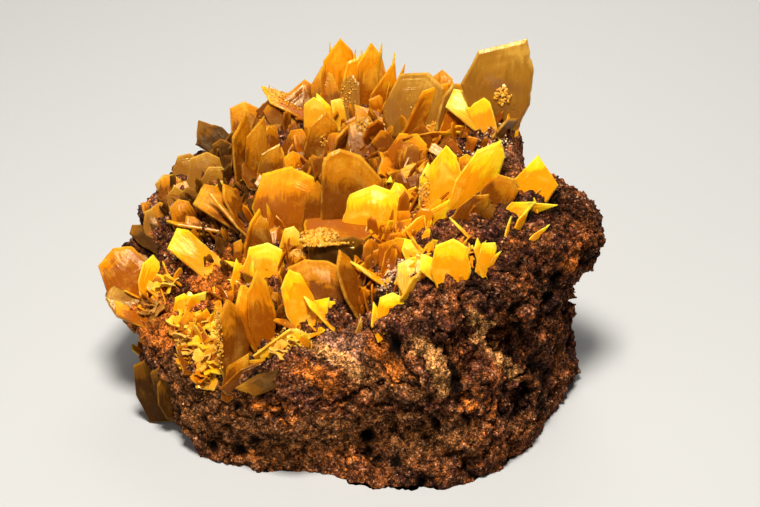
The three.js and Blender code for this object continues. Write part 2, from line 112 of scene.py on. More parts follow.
# The large crystals, clump by clump. A blade's root is x, y on top of the rock, or x, y, z on a
# flank. Its tip goes back by one angle and to the right by the next, it is twisted about its own
# length by the third, and then come its width, its rise above the root and its form.
CLUMPS = {
    "tall_blade": (TAN, [
        ((26.8, 19.5), 22, 5, 0, 13.6, 16.6, HELM),
        ((30.5, 18.5), 30, 8, 25, 3.2, 5.5, SQUARE, YELLOW),
        ((25.5, 17.5), 28, -16, -18, 5, 6.5, SQUARE, YELLOW),
        ((25.5, 18.5), 36, -48, 8, 4.8, 9.5, SQUARE, PALE),
        ((28, 17), 40, 42, 65, 5, 5.5, SHARD),
    ]),
    "back_plates": (ORANGE, [
        ((10.5, 21.5), 30, 14, -8, 11.8, 12.8, TABLET, TAN),
        ((11.5, 20.2), 32, 30, 38, 7, 13, SHARD),
        ((17.5, 21), 30, 15, 50, 6, 9, LEAF, TAN),
        ((19.5, 19.5), 40, 25, 15, 6.5, 5.5, SHARD),
        ((15.5, 18), 66, -14, -20, 10, 5, SQUARE, AMBER),
        ((8, 21), 45, -52, 15, 6, 10.5, SHARD, AMBER),
        ((4, 19), 45, -12, 0, 10, 7.5, TABLET, AMBER),
    ]),
    "back_peak": (ORANGE, [
        ((-2.4, 30.4), 30, -1, 8, 8.6, 15.6, LEAF),
        ((-4.6, 29.4), 32, -9, -14, 7, 11, LEAF, AMBER),
        ((-0.4, 30.4), 28, 6, 20, 6, 12.4, TABLET),
        ((-0.8, 27.8), 34, 2, -14, 4.6, 9.2, TABLET, TAN),
        ((-2, 27.2), 38, -4, 28, 4.4, 5.4, SQUARE, PALE),
        ((-4.4, 27.6), 36, -22, 8, 5, 7.5, DIAMOND, YELLOW),
        ((3.4, 30.2), 24, -1, 15, 7, 14.6, LEAF),
        ((5, 30), 30, 2, -25, 5.6, 12.6, SPEAR),
        ((5.6, 29.8), 28, 11, 15, 6.4, 10.6, SPEAR),
    ]),
    "speckled_blade": (AMBER, [
        ((-8.6, 31.4), 40, -60, 50, 6, 11.4, SHARD, ORANGE),
        ((-9, 32), 44, -20, 8, 9, 6.6, SHARD),
        ((-12, 30.5), 70, -10, 5, 8, 5, TABLET),
        ((-14, 28.4), 60, 8, 0, 9, 5, TABLET),
        ((-20, 29.5), 58, -18, 20, 7.6, 8.6, TABLET),
        ((-18, 29), 40, 14, -35, 6, 7.5, TABLET),
    ]),
    "amber_upright": (AMBER, [
        ((-6, 19.5), 25, 4, 12, 7.6, 9.6, LEAF),
        ((-3.5, 18), 30, 14, 68, 5, 8, SHARD),
    ]),
    "shaded_plate": (AMBER, [
        ((6.5, 14), 55, -20, 10, 6.5, 5, TABLET),
    ]),
    "brown_left_plate": (BROWN, [
        ((-24.6, 25.8), 46, -52, 14, 6.4, 8.6, SHARD),
        ((-24.4, 25.4), 38, 24, 50, 4.5, 5.2, LEAF),
    ]),
    "narrow_uprights": (AMBER, [
        ((-21, 17), 18, -2, 50, 5.5, 14, SHARD),
        ((-19, 16.5), 22, 4, 22, 4.6, 13.5, SHARD),
        ((-16.8, 17), 30, 14, 20, 4.5, 7.5, SHARD),
        ((-24, 15.9), 45, 64, 74, 3, 9.5, SPEAR),
    ]),
    "tan_round_plate": (TAN, [
        ((-28.4, 18), 37, -6, 0, 7.4, 6, TABLET),
        ((-27, 16.8), 38, 16, 20, 5.6, 4.4, TABLET),
    ]),
    "left_back_plates": (AMBER, [
        ((-32.4, 16), 56, -10, 10, 6, 3.4, TABLET),
        ((-33, 17), 80, -30, 15, 6, 4, TABLET),
    ]),
    "band_plate": (AMBER, [
        ((-20, 7.6), 55, -55, 25, 7, 12, SQUARE),
        ((-21, 10), 35, -35, 55, 6, 7, LEAF),
    ]),
    "left_thin_plate": (ORANGE, [
        ((-28, 8.5), 60, -80, 60, 5, 8, SHARD),
    ]),
    "left_tip_plates": (YELLOW, [
        ((-41, -1.2), 45, -36, 0, 9.8, 9, TABLET, ORANGE),
        ((-38.5, -1), 40, 8, 30, 5, 6, LEAF),
        ((-41, -5), 60, -50, 10, 7, 6.5, TABLET, TAN),
        ((-40, -6.5), 50, -62, 35, 5, 6, SHARD, ORANGE),
    ]),
    "bright_left_plate": (YELLOW, [
        ((-26.2, -0.8), 42, -50, 8, 5.4, 10.4, SQUARE),
    ]),
    "left_slope_plate": (YELLOW, [
        ((-31.5, -8), 38, -4, 0, 4, 3.8, TABLET),
        ((-29.6, -8), 38, 22, 40, 4.4, 4.4, SHARD),
    ]),
    "left_slope_curls": (ORANGE, [
        ((-29.6, -12.6), 45, -16, 12, 4.6, 4.6, LEAF),
        ((-28, -13.2), 38, 14, 40, 4.4, 5, LEAF),
        ((-28.2, -14.8), 50, -30, -30, 4.6, 4, TABLET),
    ]),
    "left_slope_leaf": (AMBER, [
        ((-28, -18), 40, 52, 10, 4, 5.5, LEAF),
        ((-29.5, -18.5), 62, -14, 30, 5, 3.6, SQUARE),
    ]),
    "left_foot_curls": (PALE, [
        ((-26.5, -20.5), 45, -20, 15, 4, 4.4, LEAF),
        ((-25.6, -22), 45, 10, -25, 4.4, 4, TABLET),
    ]),
    "left_great_blade": (AMBER, [
        ((-21.2, -22.8), 24, -3, 38, 7.4, 13.6, LEAF),
        ((-21.6, -25.4), 35, 26, 5, 5.4, 7, DIAMOND),
        ((-20.6, -25.2), 42, 50, 34, 3.8, 8, SPEAR),
    ]),
    "twin_leaves": (AMBER, [
        ((-17, -16.8), 28, -18, 44, 6.6, 10.6, LEAF, ORANGE),
        ((-15.8, -17.4), 26, -8, 20, 5.6, 13, LEAF, ORANGE),
    ]),
    "front_slabs": (PALE, [
        ((-14.8, -20.6), 45, 52, 55, 3.6, 6.4, SQUARE),
        ((-13.8, -21), 50, 66, 15, 3.6, 5.4, SHARD),
    ]),
    "great_plates": (ORANGE, [
        ((-4.8, -12.8), 38, -6, -6, 12.8, 8.8, ROOF, AMBER),
        ((1.4, -14), 36, -20, 56, 7.6, 10.4, LEAF, AMBER),
        ((-8.5, -15), 34, -19, 16, 6.4, 10.2, LEAF, YELLOW),
        ((-6.8, -15.6), 38, 24, -30, 4.6, 5, SHARD, YELLOW),
    ]),
    "yellow_block": (YELLOW, [
        ((-16.4, -4.5), 36, 0, 0, 8.2, 6.4, TABLET),
        ((-20.2, -5), 35, 20, -35, 3.8, 4.8, SHARD),
        ((-21, -5), 35, -10, 20, 3.8, 5, SPEAR),
    ]),
    "pale_round": (PALE, [
        ((-11.8, 0.6), 34, 6, 12, 4, 4.8, TABLET),
    ]),
    "narrow_amber": (ORANGE, [
        ((-19, 1), 28, 10, 55, 5, 8.5, LEAF),
    ]),
    "orange_plate": (ORANGE, [
        ((-12.6, 5.8), 32, 0, -4, 13, 11.6, TABLET),
        ((-14, 4.9), 36, -26, 28, 3.6, 6, SPEAR),
    ]),
    "centre_plates": (YELLOW, [
        ((-0.5, 5), 28, 4, 6, 12, 14, ROOF, AMBER),
        ((4, 2.4), 38, -6, -8, 11.5, 8.3, TABLET),
        ((-3, 3, 32.4), -90, 6, 0, 14, 7, SHARD, ORANGE),
        ((-7, 4.2), 30, 2, 6, 5.2, 9.4, LEAF, AMBER),
        ((11, 5), 38, -44, 12, 3.8, 5.4, SQUARE),
        ((9.4, 6.4), 38, 46, 24, 3.6, 5.8, SPEAR),
    ]),
    "sparkling_blade": (AMBER, [
        ((-9.6, -3.4), 40, -20, 20, 4.4, 3.6, TABLET),
    ]),
    "bright_group": (YELLOW, [
        ((14.6, 2.7), 28, -3, 32, 5, 9.4, LEAF),
        ((17.6, 2.6), 28, -1, -8, 7.2, 11.8, LEAF),
        ((20.8, 2.4), 31, 31, 18, 8, 14, LEAF),
        ((10, -3), 46, 56, 30, 6, 16.5, LEAF),
    ]),
    "right_square": (YELLOW, [
        ((34.4, 3.8), 34, 2, 0, 8.4, 7.4, DIAMOND),
    ]),
    "right_slivers": (YELLOW, [
        ((32, -0.5), 55, 78, 50, 3, 6.4, SPEAR),
        ((29, -2), 48, 60, 15, 4.2, 6, DIAMOND),
    ]),
    "front_hex_plate": (YELLOW, [
        ((18, -18.8), 34, -3, 6, 7.4, 7, TABLET),
        ((15.8, -17.4), 42, -46, 30, 4.4, 5, SHARD),
    ]),
    "front_right_chip": (YELLOW, [
        ((24, -16), 32, 16, 15, 3, 4.4, SQUARE),
    ]),
    "front_crest_chips": (PALE, [
        ((11, -16), 55, -10, 10, 5.4, 5, TABLET),
        ((11.4, -17.4), 38, 34, 40, 3.8, 6.8, SPEAR),
    ]),
    "front_low_chips": (YELLOW, [
        ((7.4, -20.6), 36, -4, 6, 5.6, 4.5, TABLET),
        ((5.2, -21), 40, -18, 35, 4, 4.4, SPEAR),
    ]),
    "flank_plate": (BROWN, [
        ((-33.6, -17.4, 5.2), 10, -16, -30, 6, 9, TABLET),
        ((-33.9, -17.5, 6.4), 12, -8, 24, 5, 6.4, LEAF),
    ]),
    "back_rim_middle": (ORANGE, [
        ((2, 32), 60, -6, 15, 8, 8.5, TABLET),
        ((0.5, 32), 50, -30, 40, 5, 7, LEAF),
    ]),
    "back_rim_right": (AMBER, [
        ((16, 28), 55, 10, -15, 8, 9, LEAF),
        ((17.5, 28), 48, 30, 40, 5.5, 7, SHARD),
    ]),
}


def lattice_value(places: Array) -> Array:
    """Give each lattice cell a number of its own, the fraction part of a large sine of its place.

    Args:
        places: Places in lattice steps, one row each.

    Returns:
        One number in 0..1 for each row.
    """
    wave = np.sin(places @ HASH_WAY) * HASH_SCALE
    return wave - np.floor(wave)


def eased(part: Array) -> Array:
    """Ease numbers in 0..1 so that both ends are level, by t * t * (3 - 2 * t)."""
    return part * part * (3 - 2 * part)


def value_noise(points: Array) -> Array:
    """Blend the lattice values of a point's eight cell corners by its eased place in the cell.

    Args:
        points: Places in lattice steps, one row each.

    Returns:
        One number in -1..1 for each row.
    """
    base = np.floor(points)
    part = eased(points - base)
    total = np.zeros(len(points))
    for corner in np.ndindex(2, 2, 2):
        weight = np.prod(np.where(np.array(corner), part, 1 - part), axis=1)
        total += weight * lattice_value(base + np.array(corner))
    return 2 * total - 1


def fractal(points: Array, spacing: float, shift: float) -> Array:
    """Sum octaves of noise, each half as high and half as wide as the last, over the sum of heights.

    Args:
        points: Places in millimetres, one row each.
        spacing: Width of the widest octave's lattice step.
        shift: Moves the lattice, so that two sums differ.

    Returns:
        One number in -1..1 for each row.
    """
    total = np.zeros(len(points))
    for octave in range(OCTAVES):
        total += 0.5**octave * value_noise(points * (2**octave / spacing) + shift + OCTAVE_SHIFT * octave)
    return total / (2 - 0.5 ** (OCTAVES - 1))


def cells(points: Array, spacing: float, shift: float) -> tuple[Array, Array]:
    """Scatter one seed in each lattice cell and measure how far each point is from the nearest.

    Args:
        points: Places in millimetres, one row each.
        spacing: Width of a lattice cell.
        shift: Moves the lattice.

    Returns:
        The distance to the nearest seed, in cells, and that seed's number.
    """
    scaled = points / spacing + shift
    base = np.floor(scaled)
    nearest = np.full(len(points), FAR)
    value = np.zeros(len(points))
    for offset in np.ndindex(3, 3, 3):
        cell = base + np.array(offset) - 1
        seed = cell + np.stack([lattice_value(cell + turn) for turn in SEED_SHIFTS], axis=1)
        distance = np.linalg.norm(scaled - seed, axis=1)
        value = np.where(distance < nearest, lattice_value(cell + NUMBER_SHIFT), value)
        nearest = np.minimum(nearest, distance)
    return nearest, value


def smooth_step(values: Array, low: float, high: float) -> Array:
    """Rise from 0 at low to 1 at high with level ends.

    Args:
        values: Numbers to map.
        low: Where the rise starts.
        high: Where it ends.

    Returns:
        One number in 0..1 for each value.
    """
    return eased(np.clip((values - low) / (high - low), 0, 1))


def turn_matrices(back: Array | float, right: Array | float, twist: Array | float) -> Array:
    """Turn a standing blade about its length, then to the right, then to the back.

    Args:
        back: Degrees that each tip goes back from upright.
        right: Degrees that each tip goes to the right.
        twist: Degrees that each blade is twisted about its own length.

    Returns:
        One rotation matrix for each blade: Rx(-back) Ry(right) Rz(twist).
    """
    b, r, t = (np.radians(np.atleast_1d(angle)) for angle in (back, right, twist))
    zero, one = np.zeros_like(b), np.ones_like(b)
    about_x = np.array([[one, zero, zero], [zero, np.cos(b), np.sin(b)], [zero, -np.sin(b), np.cos(b)]])
    about_y = np.array([[np.cos(r), zero, np.sin(r)], [zero, one, zero], [-np.sin(r), zero, np.cos(r)]])
    about_z = np.array([[np.cos(t), -np.sin(t), zero], [np.sin(t), np.cos(t), zero], [zero, zero, one]])
    return np.einsum("ijn,jkn,kln->nil", about_x, about_y, about_z)


def turned(turns: Array, points: Array) -> Array:
    """Turn each block of points by its own matrix."""
    return np.einsum("nij,npj->npi", turns, points)


@dataclass
class Surface:
    """Points in millimetres, the faces that join them, and a number per point for each mark."""

    points: Array
    faces: list[Array]
    marks: dict[str, Array] = field(default_factory=dict)

    def copies(self, points: Array, marks: dict[str, Array]) -> "Surface":
        """Repeat the faces for many placed copies of the points.

        Args:
            points: The placed points, one block of rows for each copy.
            marks: One number for each copy and point, by mark name.

        Returns:
            One surface that holds all the copies.
        """
        count, size = points.shape[:2]
        starts = (np.arange(count) * size)[:, None, None]
        faces = [(block[None] + starts).reshape(-1, block.shape[1]) for block in self.faces]
        flat = {name: np.broadcast_to(value, (count, size)).ravel() for name, value in marks.items()}
        return Surface(points.reshape(-1, 3), faces, flat)

    def piece(self, name: str, crease: float, material: Material) -> bpy.types.Object:
        """Make a Blender object of the surface, in metres, with its place in its mesh.

        Args:
            name: The object's name.
            crease: Degrees between two faces past which their edge is shaded sharp.
            material: The finish of every face.

        Returns:
            The new object, riding on the specimen's one body.
        """
        mesh = bpy.data.meshes.new(name)
        corners = np.concatenate([block.ravel() for block in self.faces]).astype(np.int32)
        sizes = np.concatenate([np.full(len(block), block.shape[1]) for block in self.faces])
        starts = np.concatenate([[0], np.cumsum(sizes)[:-1]]).astype(np.int32)
        mesh.vertices.add(len(self.points))
        mesh.vertices.foreach_set("co", (self.points * MM).astype(np.float32).ravel())
        mesh.loops.add(len(corners))
        mesh.loops.foreach_set("vertex_index", corners)
        mesh.polygons.add(len(sizes))
        mesh.polygons.foreach_set("loop_start", starts)
        mesh.polygons.foreach_set("loop_total", sizes.astype(np.int32))
        mesh.update(calc_edges=True)
        for mark, values in self.marks.items():
            layer = mesh.attributes.new(mark, "FLOAT", "POINT")
            layer.data.foreach_set("value", values.astype(np.float32))
        mesh.shade_smooth()
        mesh.set_sharp_from_angle(angle=math.radians(crease))
        mesh.materials.append(material)
        made = bpy.data.objects.new(name, mesh)
        bpy.context.scene.collection.objects.link(made)
        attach(made, "root")
        LOG.info("%s: %d faces", name, len(sizes))
        return made


def joined(surfaces: list[Surface]) -> Surface:
    """Put several surfaces into one, without welding them.

    Args:
        surfaces: Surfaces with the same marks.

    Returns:
        One surface with all their points and faces.
    """
    starts = np.cumsum([0] + [len(one.points) for one in surfaces[:-1]])
    faces = [block + start for one, start in zip(surfaces, starts) for block in one.faces]
    sizes = sorted({block.shape[1] for block in faces})
    same = [np.concatenate([block for block in faces if block.shape[1] == size]) for size in sizes]
    marks = {name: np.concatenate([one.marks[name] for one in surfaces]) for name in surfaces[0].marks}
    return Surface(np.concatenate([one.points for one in surfaces]), same, marks)


def ring_quads(rings: int, around: int) -> Array:
    """Join neighbouring rings of points with quads.

    Args:
        rings: How many rings follow each other.
        around: How many points each ring has.

    Returns:
        The quads, which face out of rings that climb while they run anticlockwise.
    """
    low = np.arange((rings - 1) * around).reshape(rings - 1, around)
    near = np.roll(low, -1, axis=1)
    return np.stack([low, near, near + around, low + around], axis=2).reshape(-1, 4)


def cube_sphere(steps: int) -> tuple[Array, Array]:
    """Cover a sphere with six square patches, each a grid of the tangents of even angles.

    Args:
        steps: Quads along a patch's side.

    Returns:
        Unit directions, and the quads that join them with their faces outwards.
    """
    line = np.tan(np.linspace(-1, 1, steps + 1) * math.pi / 4)
    u, v = np.meshgrid(line, line, indexing="ij")
    one = np.ones_like(u)
    patches = [(one, u, v), (-one, v, u), (v, one, u), (u, -one, v), (u, v, one), (v, u, -one)]
    points = np.concatenate([np.stack(patch, axis=2).reshape(-1, 3) for patch in patches])
    cell = np.arange((steps + 1) ** 2).reshape(steps + 1, steps + 1)
    quad = np.stack([cell[:-1, :-1], cell[1:, :-1], cell[1:, 1:], cell[:-1, 1:]], axis=2).reshape(-1, 4)
    quads = np.concatenate([quad + side * (steps + 1) ** 2 for side in range(len(patches))])
    rounded, index = np.unique(np.round(points, WELD_DIGITS), axis=0, return_inverse=True)
    directions = rounded / np.linalg.norm(rounded, axis=1, keepdims=True)
    return directions, index.ravel()[quads]


def point_normals(points: Array, quads: Array) -> Array:
    """Average the area vectors of the faces that meet at each point.

    Args:
        points: The surface's points.
        quads: The surface's faces.

    Returns:
        One unit vector for each point.
    """
    corners = points[quads]
    area = np.cross(corners[:, 2] - corners[:, 0], corners[:, 3] - corners[:, 1])
    total = np.zeros_like(points)
    for corner in range(4):
        np.add.at(total, quads[:, corner], area)
    return total / np.maximum(np.linalg.norm(total, axis=1, keepdims=True), TINY)


class Nodes:
    """Short calls that build one procedural material around a Principled shader."""

    SCRAMBLE = 7.31
    NOISE_MIDDLE = 0.5
    # Which of a mix node's sockets hold colours.
    MIX_FIRST, MIX_SECOND = 6, 7
    MIX_RESULT = 2

    def __init__(self, name: str) -> None:
        """Start a material with an empty Principled shader.

        Args:
            name: The material's name.
        """
        self.material = bpy.data.materials.new(name)
        self.material.use_nodes = True
        self.tree = self.material.node_tree
        self.shader = self.tree.nodes["Principled BSDF"]
        self.place = self.add("ShaderNodeTexCoord").outputs["Object"]

    def add(self, kind: str, **settings: object) -> bpy.types.Node:
        """Add a node and set its properties.

        Args:
            kind: The node's type.
            settings: Its properties by name.

        Returns:
            The new node.
        """
        node = self.tree.nodes.new(kind)
        for name, value in settings.items():
            setattr(node, name, value)
        return node

    def feed(self, socket: bpy.types.NodeSocket, value: object) -> None:
        """Give an input socket a link or a constant.

        Args:
            socket: The input.
            value: The socket to link, or the constant.
        """
        if isinstance(value, bpy.types.NodeSocket):
            self.tree.links.new(value, socket)
        else:
            socket.default_value = value

    def noise(self, width: float, detail: float = 4, roughness: float = 0.55, warp: float = 0,
              place: object = None) -> object:
        """Make noise over the object's own space, or over another one.

        Args:
            width: Size of its widest features in millimetres.
            detail: How many octaves it has.
            roughness: How strong the fine octaves are.
            warp: How much it is distorted.
            place: The socket with the other space.

        Returns:
            The socket with a number around 0.5.
        """
        node = self.add("ShaderNodeTexNoise")
        for name, value in (("Vector", place or self.place), ("Scale", 1 / (width * MM)), ("Detail", detail),
                            ("Roughness", roughness), ("Distortion", warp)):
            self.feed(node.inputs[name], value)
        return node.outputs["Fac"]

    def specks(self, width: float) -> tuple[object, object]:
        """Scatter cells over the object's space.

        Args:
            width: Their usual size in millimetres.

        Returns:
            The sockets with each cell's own number and with the distance from its middle, in widths.
        """
        node = self.add("ShaderNodeTexVoronoi")
        self.feed(node.inputs["Vector"], self.place)
        self.feed(node.inputs["Scale"], 1 / (width * MM))
        scrambled = self.math("MULTIPLY", self.channel(node.outputs["Color"]), self.SCRAMBLE)
        return self.math("FRACT", scrambled, 0), node.outputs["Distance"]

    def channel(self, colour: object) -> object:
        """Take the red part of a colour.

        Args:
            colour: The socket with the colour.

        Returns:
            The socket with its red part.
        """
        node = self.add("ShaderNodeSeparateColor")
        self.feed(node.inputs[0], colour)
        return node.outputs[0]

    def mark(self, name: str) -> object:
        """Read a number that the mesh holds at each point."""
        return self.add("ShaderNodeAttribute", attribute_name=name).outputs["Fac"]

    def vector(self, *parts: object) -> object:
        """Put three numbers into one vector.

        Args:
            parts: The numbers or their sockets.

        Returns:
            The socket with the vector.
        """
        node = self.add("ShaderNodeCombineXYZ")
        for socket, part in zip(node.inputs, parts):
            self.feed(socket, part)
        return node.outputs[0]

    def math(self, operation: str, first: object, second: object) -> object:
        """Work out one number from two.

        Args:
            operation: What is done with them.
            first: A number or a socket.
            second: A number or a socket, which some operations leave out.

        Returns:
            The socket with the result.
        """
        node = self.add("ShaderNodeMath", operation=operation)
        self.feed(node.inputs[0], first)
        self.feed(node.inputs[1], second)
        return node.outputs[0]

    def total(self, *parts: object) -> object:
        """Add numbers up, from the first to the last.

        Args:
            parts: The numbers' sockets.

        Returns:
            The socket with their sum.
        """
        sum_so_far = parts[0]
        for part in parts[1:]:
            sum_so_far = self.math("ADD", sum_so_far, part)
        return sum_so_far

    def span(self, value: object, low: float, high: float, out_low: object = 0,
             out_high: object = 1) -> object:
        """Map a number smoothly from low..high to out_low..out_high.

        Args:
            value: The socket to read.
            low: Start of the input span.
            high: End of the input span.
            out_low: The result at low and below.
            out_high: The result at high and above.

        Returns:
            The socket with the mapped number.
        """
        node = self.add("ShaderNodeMapRange", interpolation_type="SMOOTHSTEP")
        for socket, number in zip(node.inputs, (value, low, high, out_low, out_high)):
            self.feed(socket, number)
        return node.outputs[0]

    def mix(self, factor: object, first: object, second: object, blend: str = "MIX") -> object:
        """Mix two colours.

        Args:
            factor: How much of the second colour shows.
            first: A colour or a socket.
            second: A colour or a socket.
            blend: The kind of mix.

        Returns:
            The socket with the mixed colour.
        """
        node = self.add("ShaderNodeMix", data_type="RGBA", blend_type=blend)
        self.feed(node.inputs["Factor"], factor)
        for place, colour in ((self.MIX_FIRST, first), (self.MIX_SECOND, second)):
            self.feed(node.inputs[place], (*colour, 1) if isinstance(colour, tuple) else colour)
        return node.outputs[self.MIX_RESULT]

    def bump(self, height: object, depth: float) -> None:
        """Tilt the shaded surface by a height field.

        Args:
            height: The socket with the heights.
            depth: The rise from height 0 to height 1, in millimetres.
        """
        node = self.add("ShaderNodeBump")
        self.feed(node.inputs["Height"], height)
        self.feed(node.inputs["Distance"], depth * MM)
        self.feed(self.shader.inputs["Normal"], node.outputs["Normal"])


@dataclass(frozen=True)
class WulfeniteFinish:
    """Translucent crystal: deep at its root as painted shade, clearer and lighter towards its rim and tip,
    with a painted glow towards the tip and a painted highlight on the bevel.
    """

    slot: str
    deep: Colour
    body: Colour
    edge: Colour
    milk: Colour
    clear: float = 0.15
    roughness: float = 0.18
    gloss: float = 0.25
    petal: Colour = (0.86, 0.74, 1)
    refraction: float = 1.5
    shine: tuple[float, ...] = (1, 0.8, 0.45, 1)
    scatter: float = 0.6
    scatter_depth: float = 0.9
    scatter_reach: Colour = (1, 0.85, 0.5)
    absorption: float = 260
    # Darker at the root and lighter at the tip: painted shade at the root, painted glow at the tip.
    root_shade_tip_glow: Ramp = (0.12, 0.95, -0.26, 0.64)
    tone_light: Ramp = (0, 1, -0.16, 0.2)
    patches: Noise = (5, 2, 0.5, 0.6)
    patch_light: Ramp = (0.35, 0.7, -0.17, 0.15)
    streaks: Noise = (0.7, 4, 0.65, 0.3)
    streak_squeeze: float = 0.14
    streak_light: Ramp = (0.3, 0.7, -0.11, 0.1)
    zoning: Noise = (1, 2, 0.5)
    zone_reach: Span = (6, 40)
    zone_light: Ramp = (0.35, 0.65, -0.12, 0.1)
    body_light: Ramp = (0, 0.4)
    edge_light: Ramp = (0.4, 1.1)
    clouds: Noise = (4.5, 4, 0.6, 0.4)
    cloud_cover: Ramp = (0.48, 0.75, 0, 0.6)
    cloud_rim: Ramp = (0.45, 0.95, 1, 0.1)
    # Patches of the edge colour on the bevel ring: a painted highlight.
    bevel_highlight_rim: Ramp = (0.92, 1)
    bevel_highlight_patches: Noise = (2.4,)
    bevel_highlight_cover: Ramp = (0.4, 0.6, 0.1, 0.6)
    petal_share: Ramp = (0, 1, 0, 0.85)
    satin: Noise = (1.7, 4, 0.6)
    satin_light: Ramp = (0.3, 0.7)
    satin_change: Span = (0.65, 1.6)
    waves: Noise = (2.2, 2, 0.5)
    relief: float = 0.1

    def colour(self, nodes: Nodes, streaks: object) -> object:
        """Mix the crystal's colour.

        A lightness is summed from the tip, which paints shade at the root and glow towards the tip,
        the blade's own tone, patches, streaks along the blade and zones that follow its rim. It leads
        from deep through body to edge, and milky clouds, a painted highlight of the edge colour on the
        bevel and the tint of thin plates come on top.

        Args:
            nodes: The material in the making.
            streaks: The streaks along the blade.

        Returns:
            The socket with the colour.
        """
        rim, tone = nodes.mark("rim"), nodes.mark("tone")
        ring, blade = (nodes.math("MULTIPLY", mark, reach * MM)
                       for mark, reach in zip((rim, tone), self.zone_reach))
        light = nodes.total(
            nodes.span(nodes.mark("tip"), *self.root_shade_tip_glow),
            nodes.span(tone, *self.tone_light),
            nodes.span(nodes.noise(*self.patches), *self.patch_light),
            nodes.span(streaks, *self.streak_light),
            nodes.span(nodes.noise(*self.zoning, place=nodes.vector(ring, blade, 0)), *self.zone_light))
        colour = nodes.mix(nodes.span(light, *self.body_light), self.deep, self.body)
        colour = nodes.mix(nodes.span(light, *self.edge_light), colour, self.edge)
        clouds = nodes.math("MULTIPLY", nodes.span(nodes.noise(*self.clouds), *self.cloud_cover),
                            nodes.span(rim, *self.cloud_rim))
        colour = nodes.mix(clouds, colour, self.milk)
        # Painted highlight: the edge colour in patches along the bevel.
        bevel = nodes.math("MULTIPLY", nodes.span(rim, *self.bevel_highlight_rim),
                           nodes.span(nodes.noise(*self.bevel_highlight_patches), *self.bevel_highlight_cover))
        colour = nodes.mix(bevel, colour, self.edge)
        return nodes.mix(nodes.span(nodes.mark("thin"), *self.petal_share), colour, self.petal, "MULTIPLY")

    def material(self) -> Material:
        """Build the material.

        Returns:
            The material, which reads the marks tone, tip, rim, thin, across and along.
        """
        nodes = Nodes(self.slot)
        along = nodes.math("MULTIPLY", nodes.mark("along"), self.streak_squeeze)
        streaks = nodes.noise(*self.streaks, place=nodes.vector(nodes.mark("across"), along, 0))
        least, most = (change * self.roughness for change in self.satin_change)
        satin = nodes.span(nodes.noise(*self.satin), *self.satin_light, least, most)
        scatter = nodes.span(nodes.mark("thin"), 0, 1, self.scatter, 0)
        for name, value in (("Base Color", self.colour(nodes, streaks)), ("Roughness", satin),
                            ("IOR", self.refraction), ("Transmission Weight", self.clear),
                            ("Specular IOR Level", self.gloss), ("Specular Tint", self.shine),
                            ("Subsurface Weight", scatter), ("Subsurface Scale", self.scatter_depth * MM),
                            ("Subsurface Radius", self.scatter_reach)):
            nodes.feed(nodes.shader.inputs[name], value)
        nodes.bump(nodes.math("ADD", streaks, nodes.noise(*self.waves)), self.relief)
        inside = nodes.add("ShaderNodeVolumeAbsorption")
        nodes.feed(inside.inputs["Color"], (*self.edge, 1))
        nodes.feed(inside.inputs["Density"], self.absorption)
        output = nodes.tree.nodes["Material Output"]
        nodes.tree.links.new(inside.outputs["Volume"], output.inputs["Volume"])
        return nodes.material


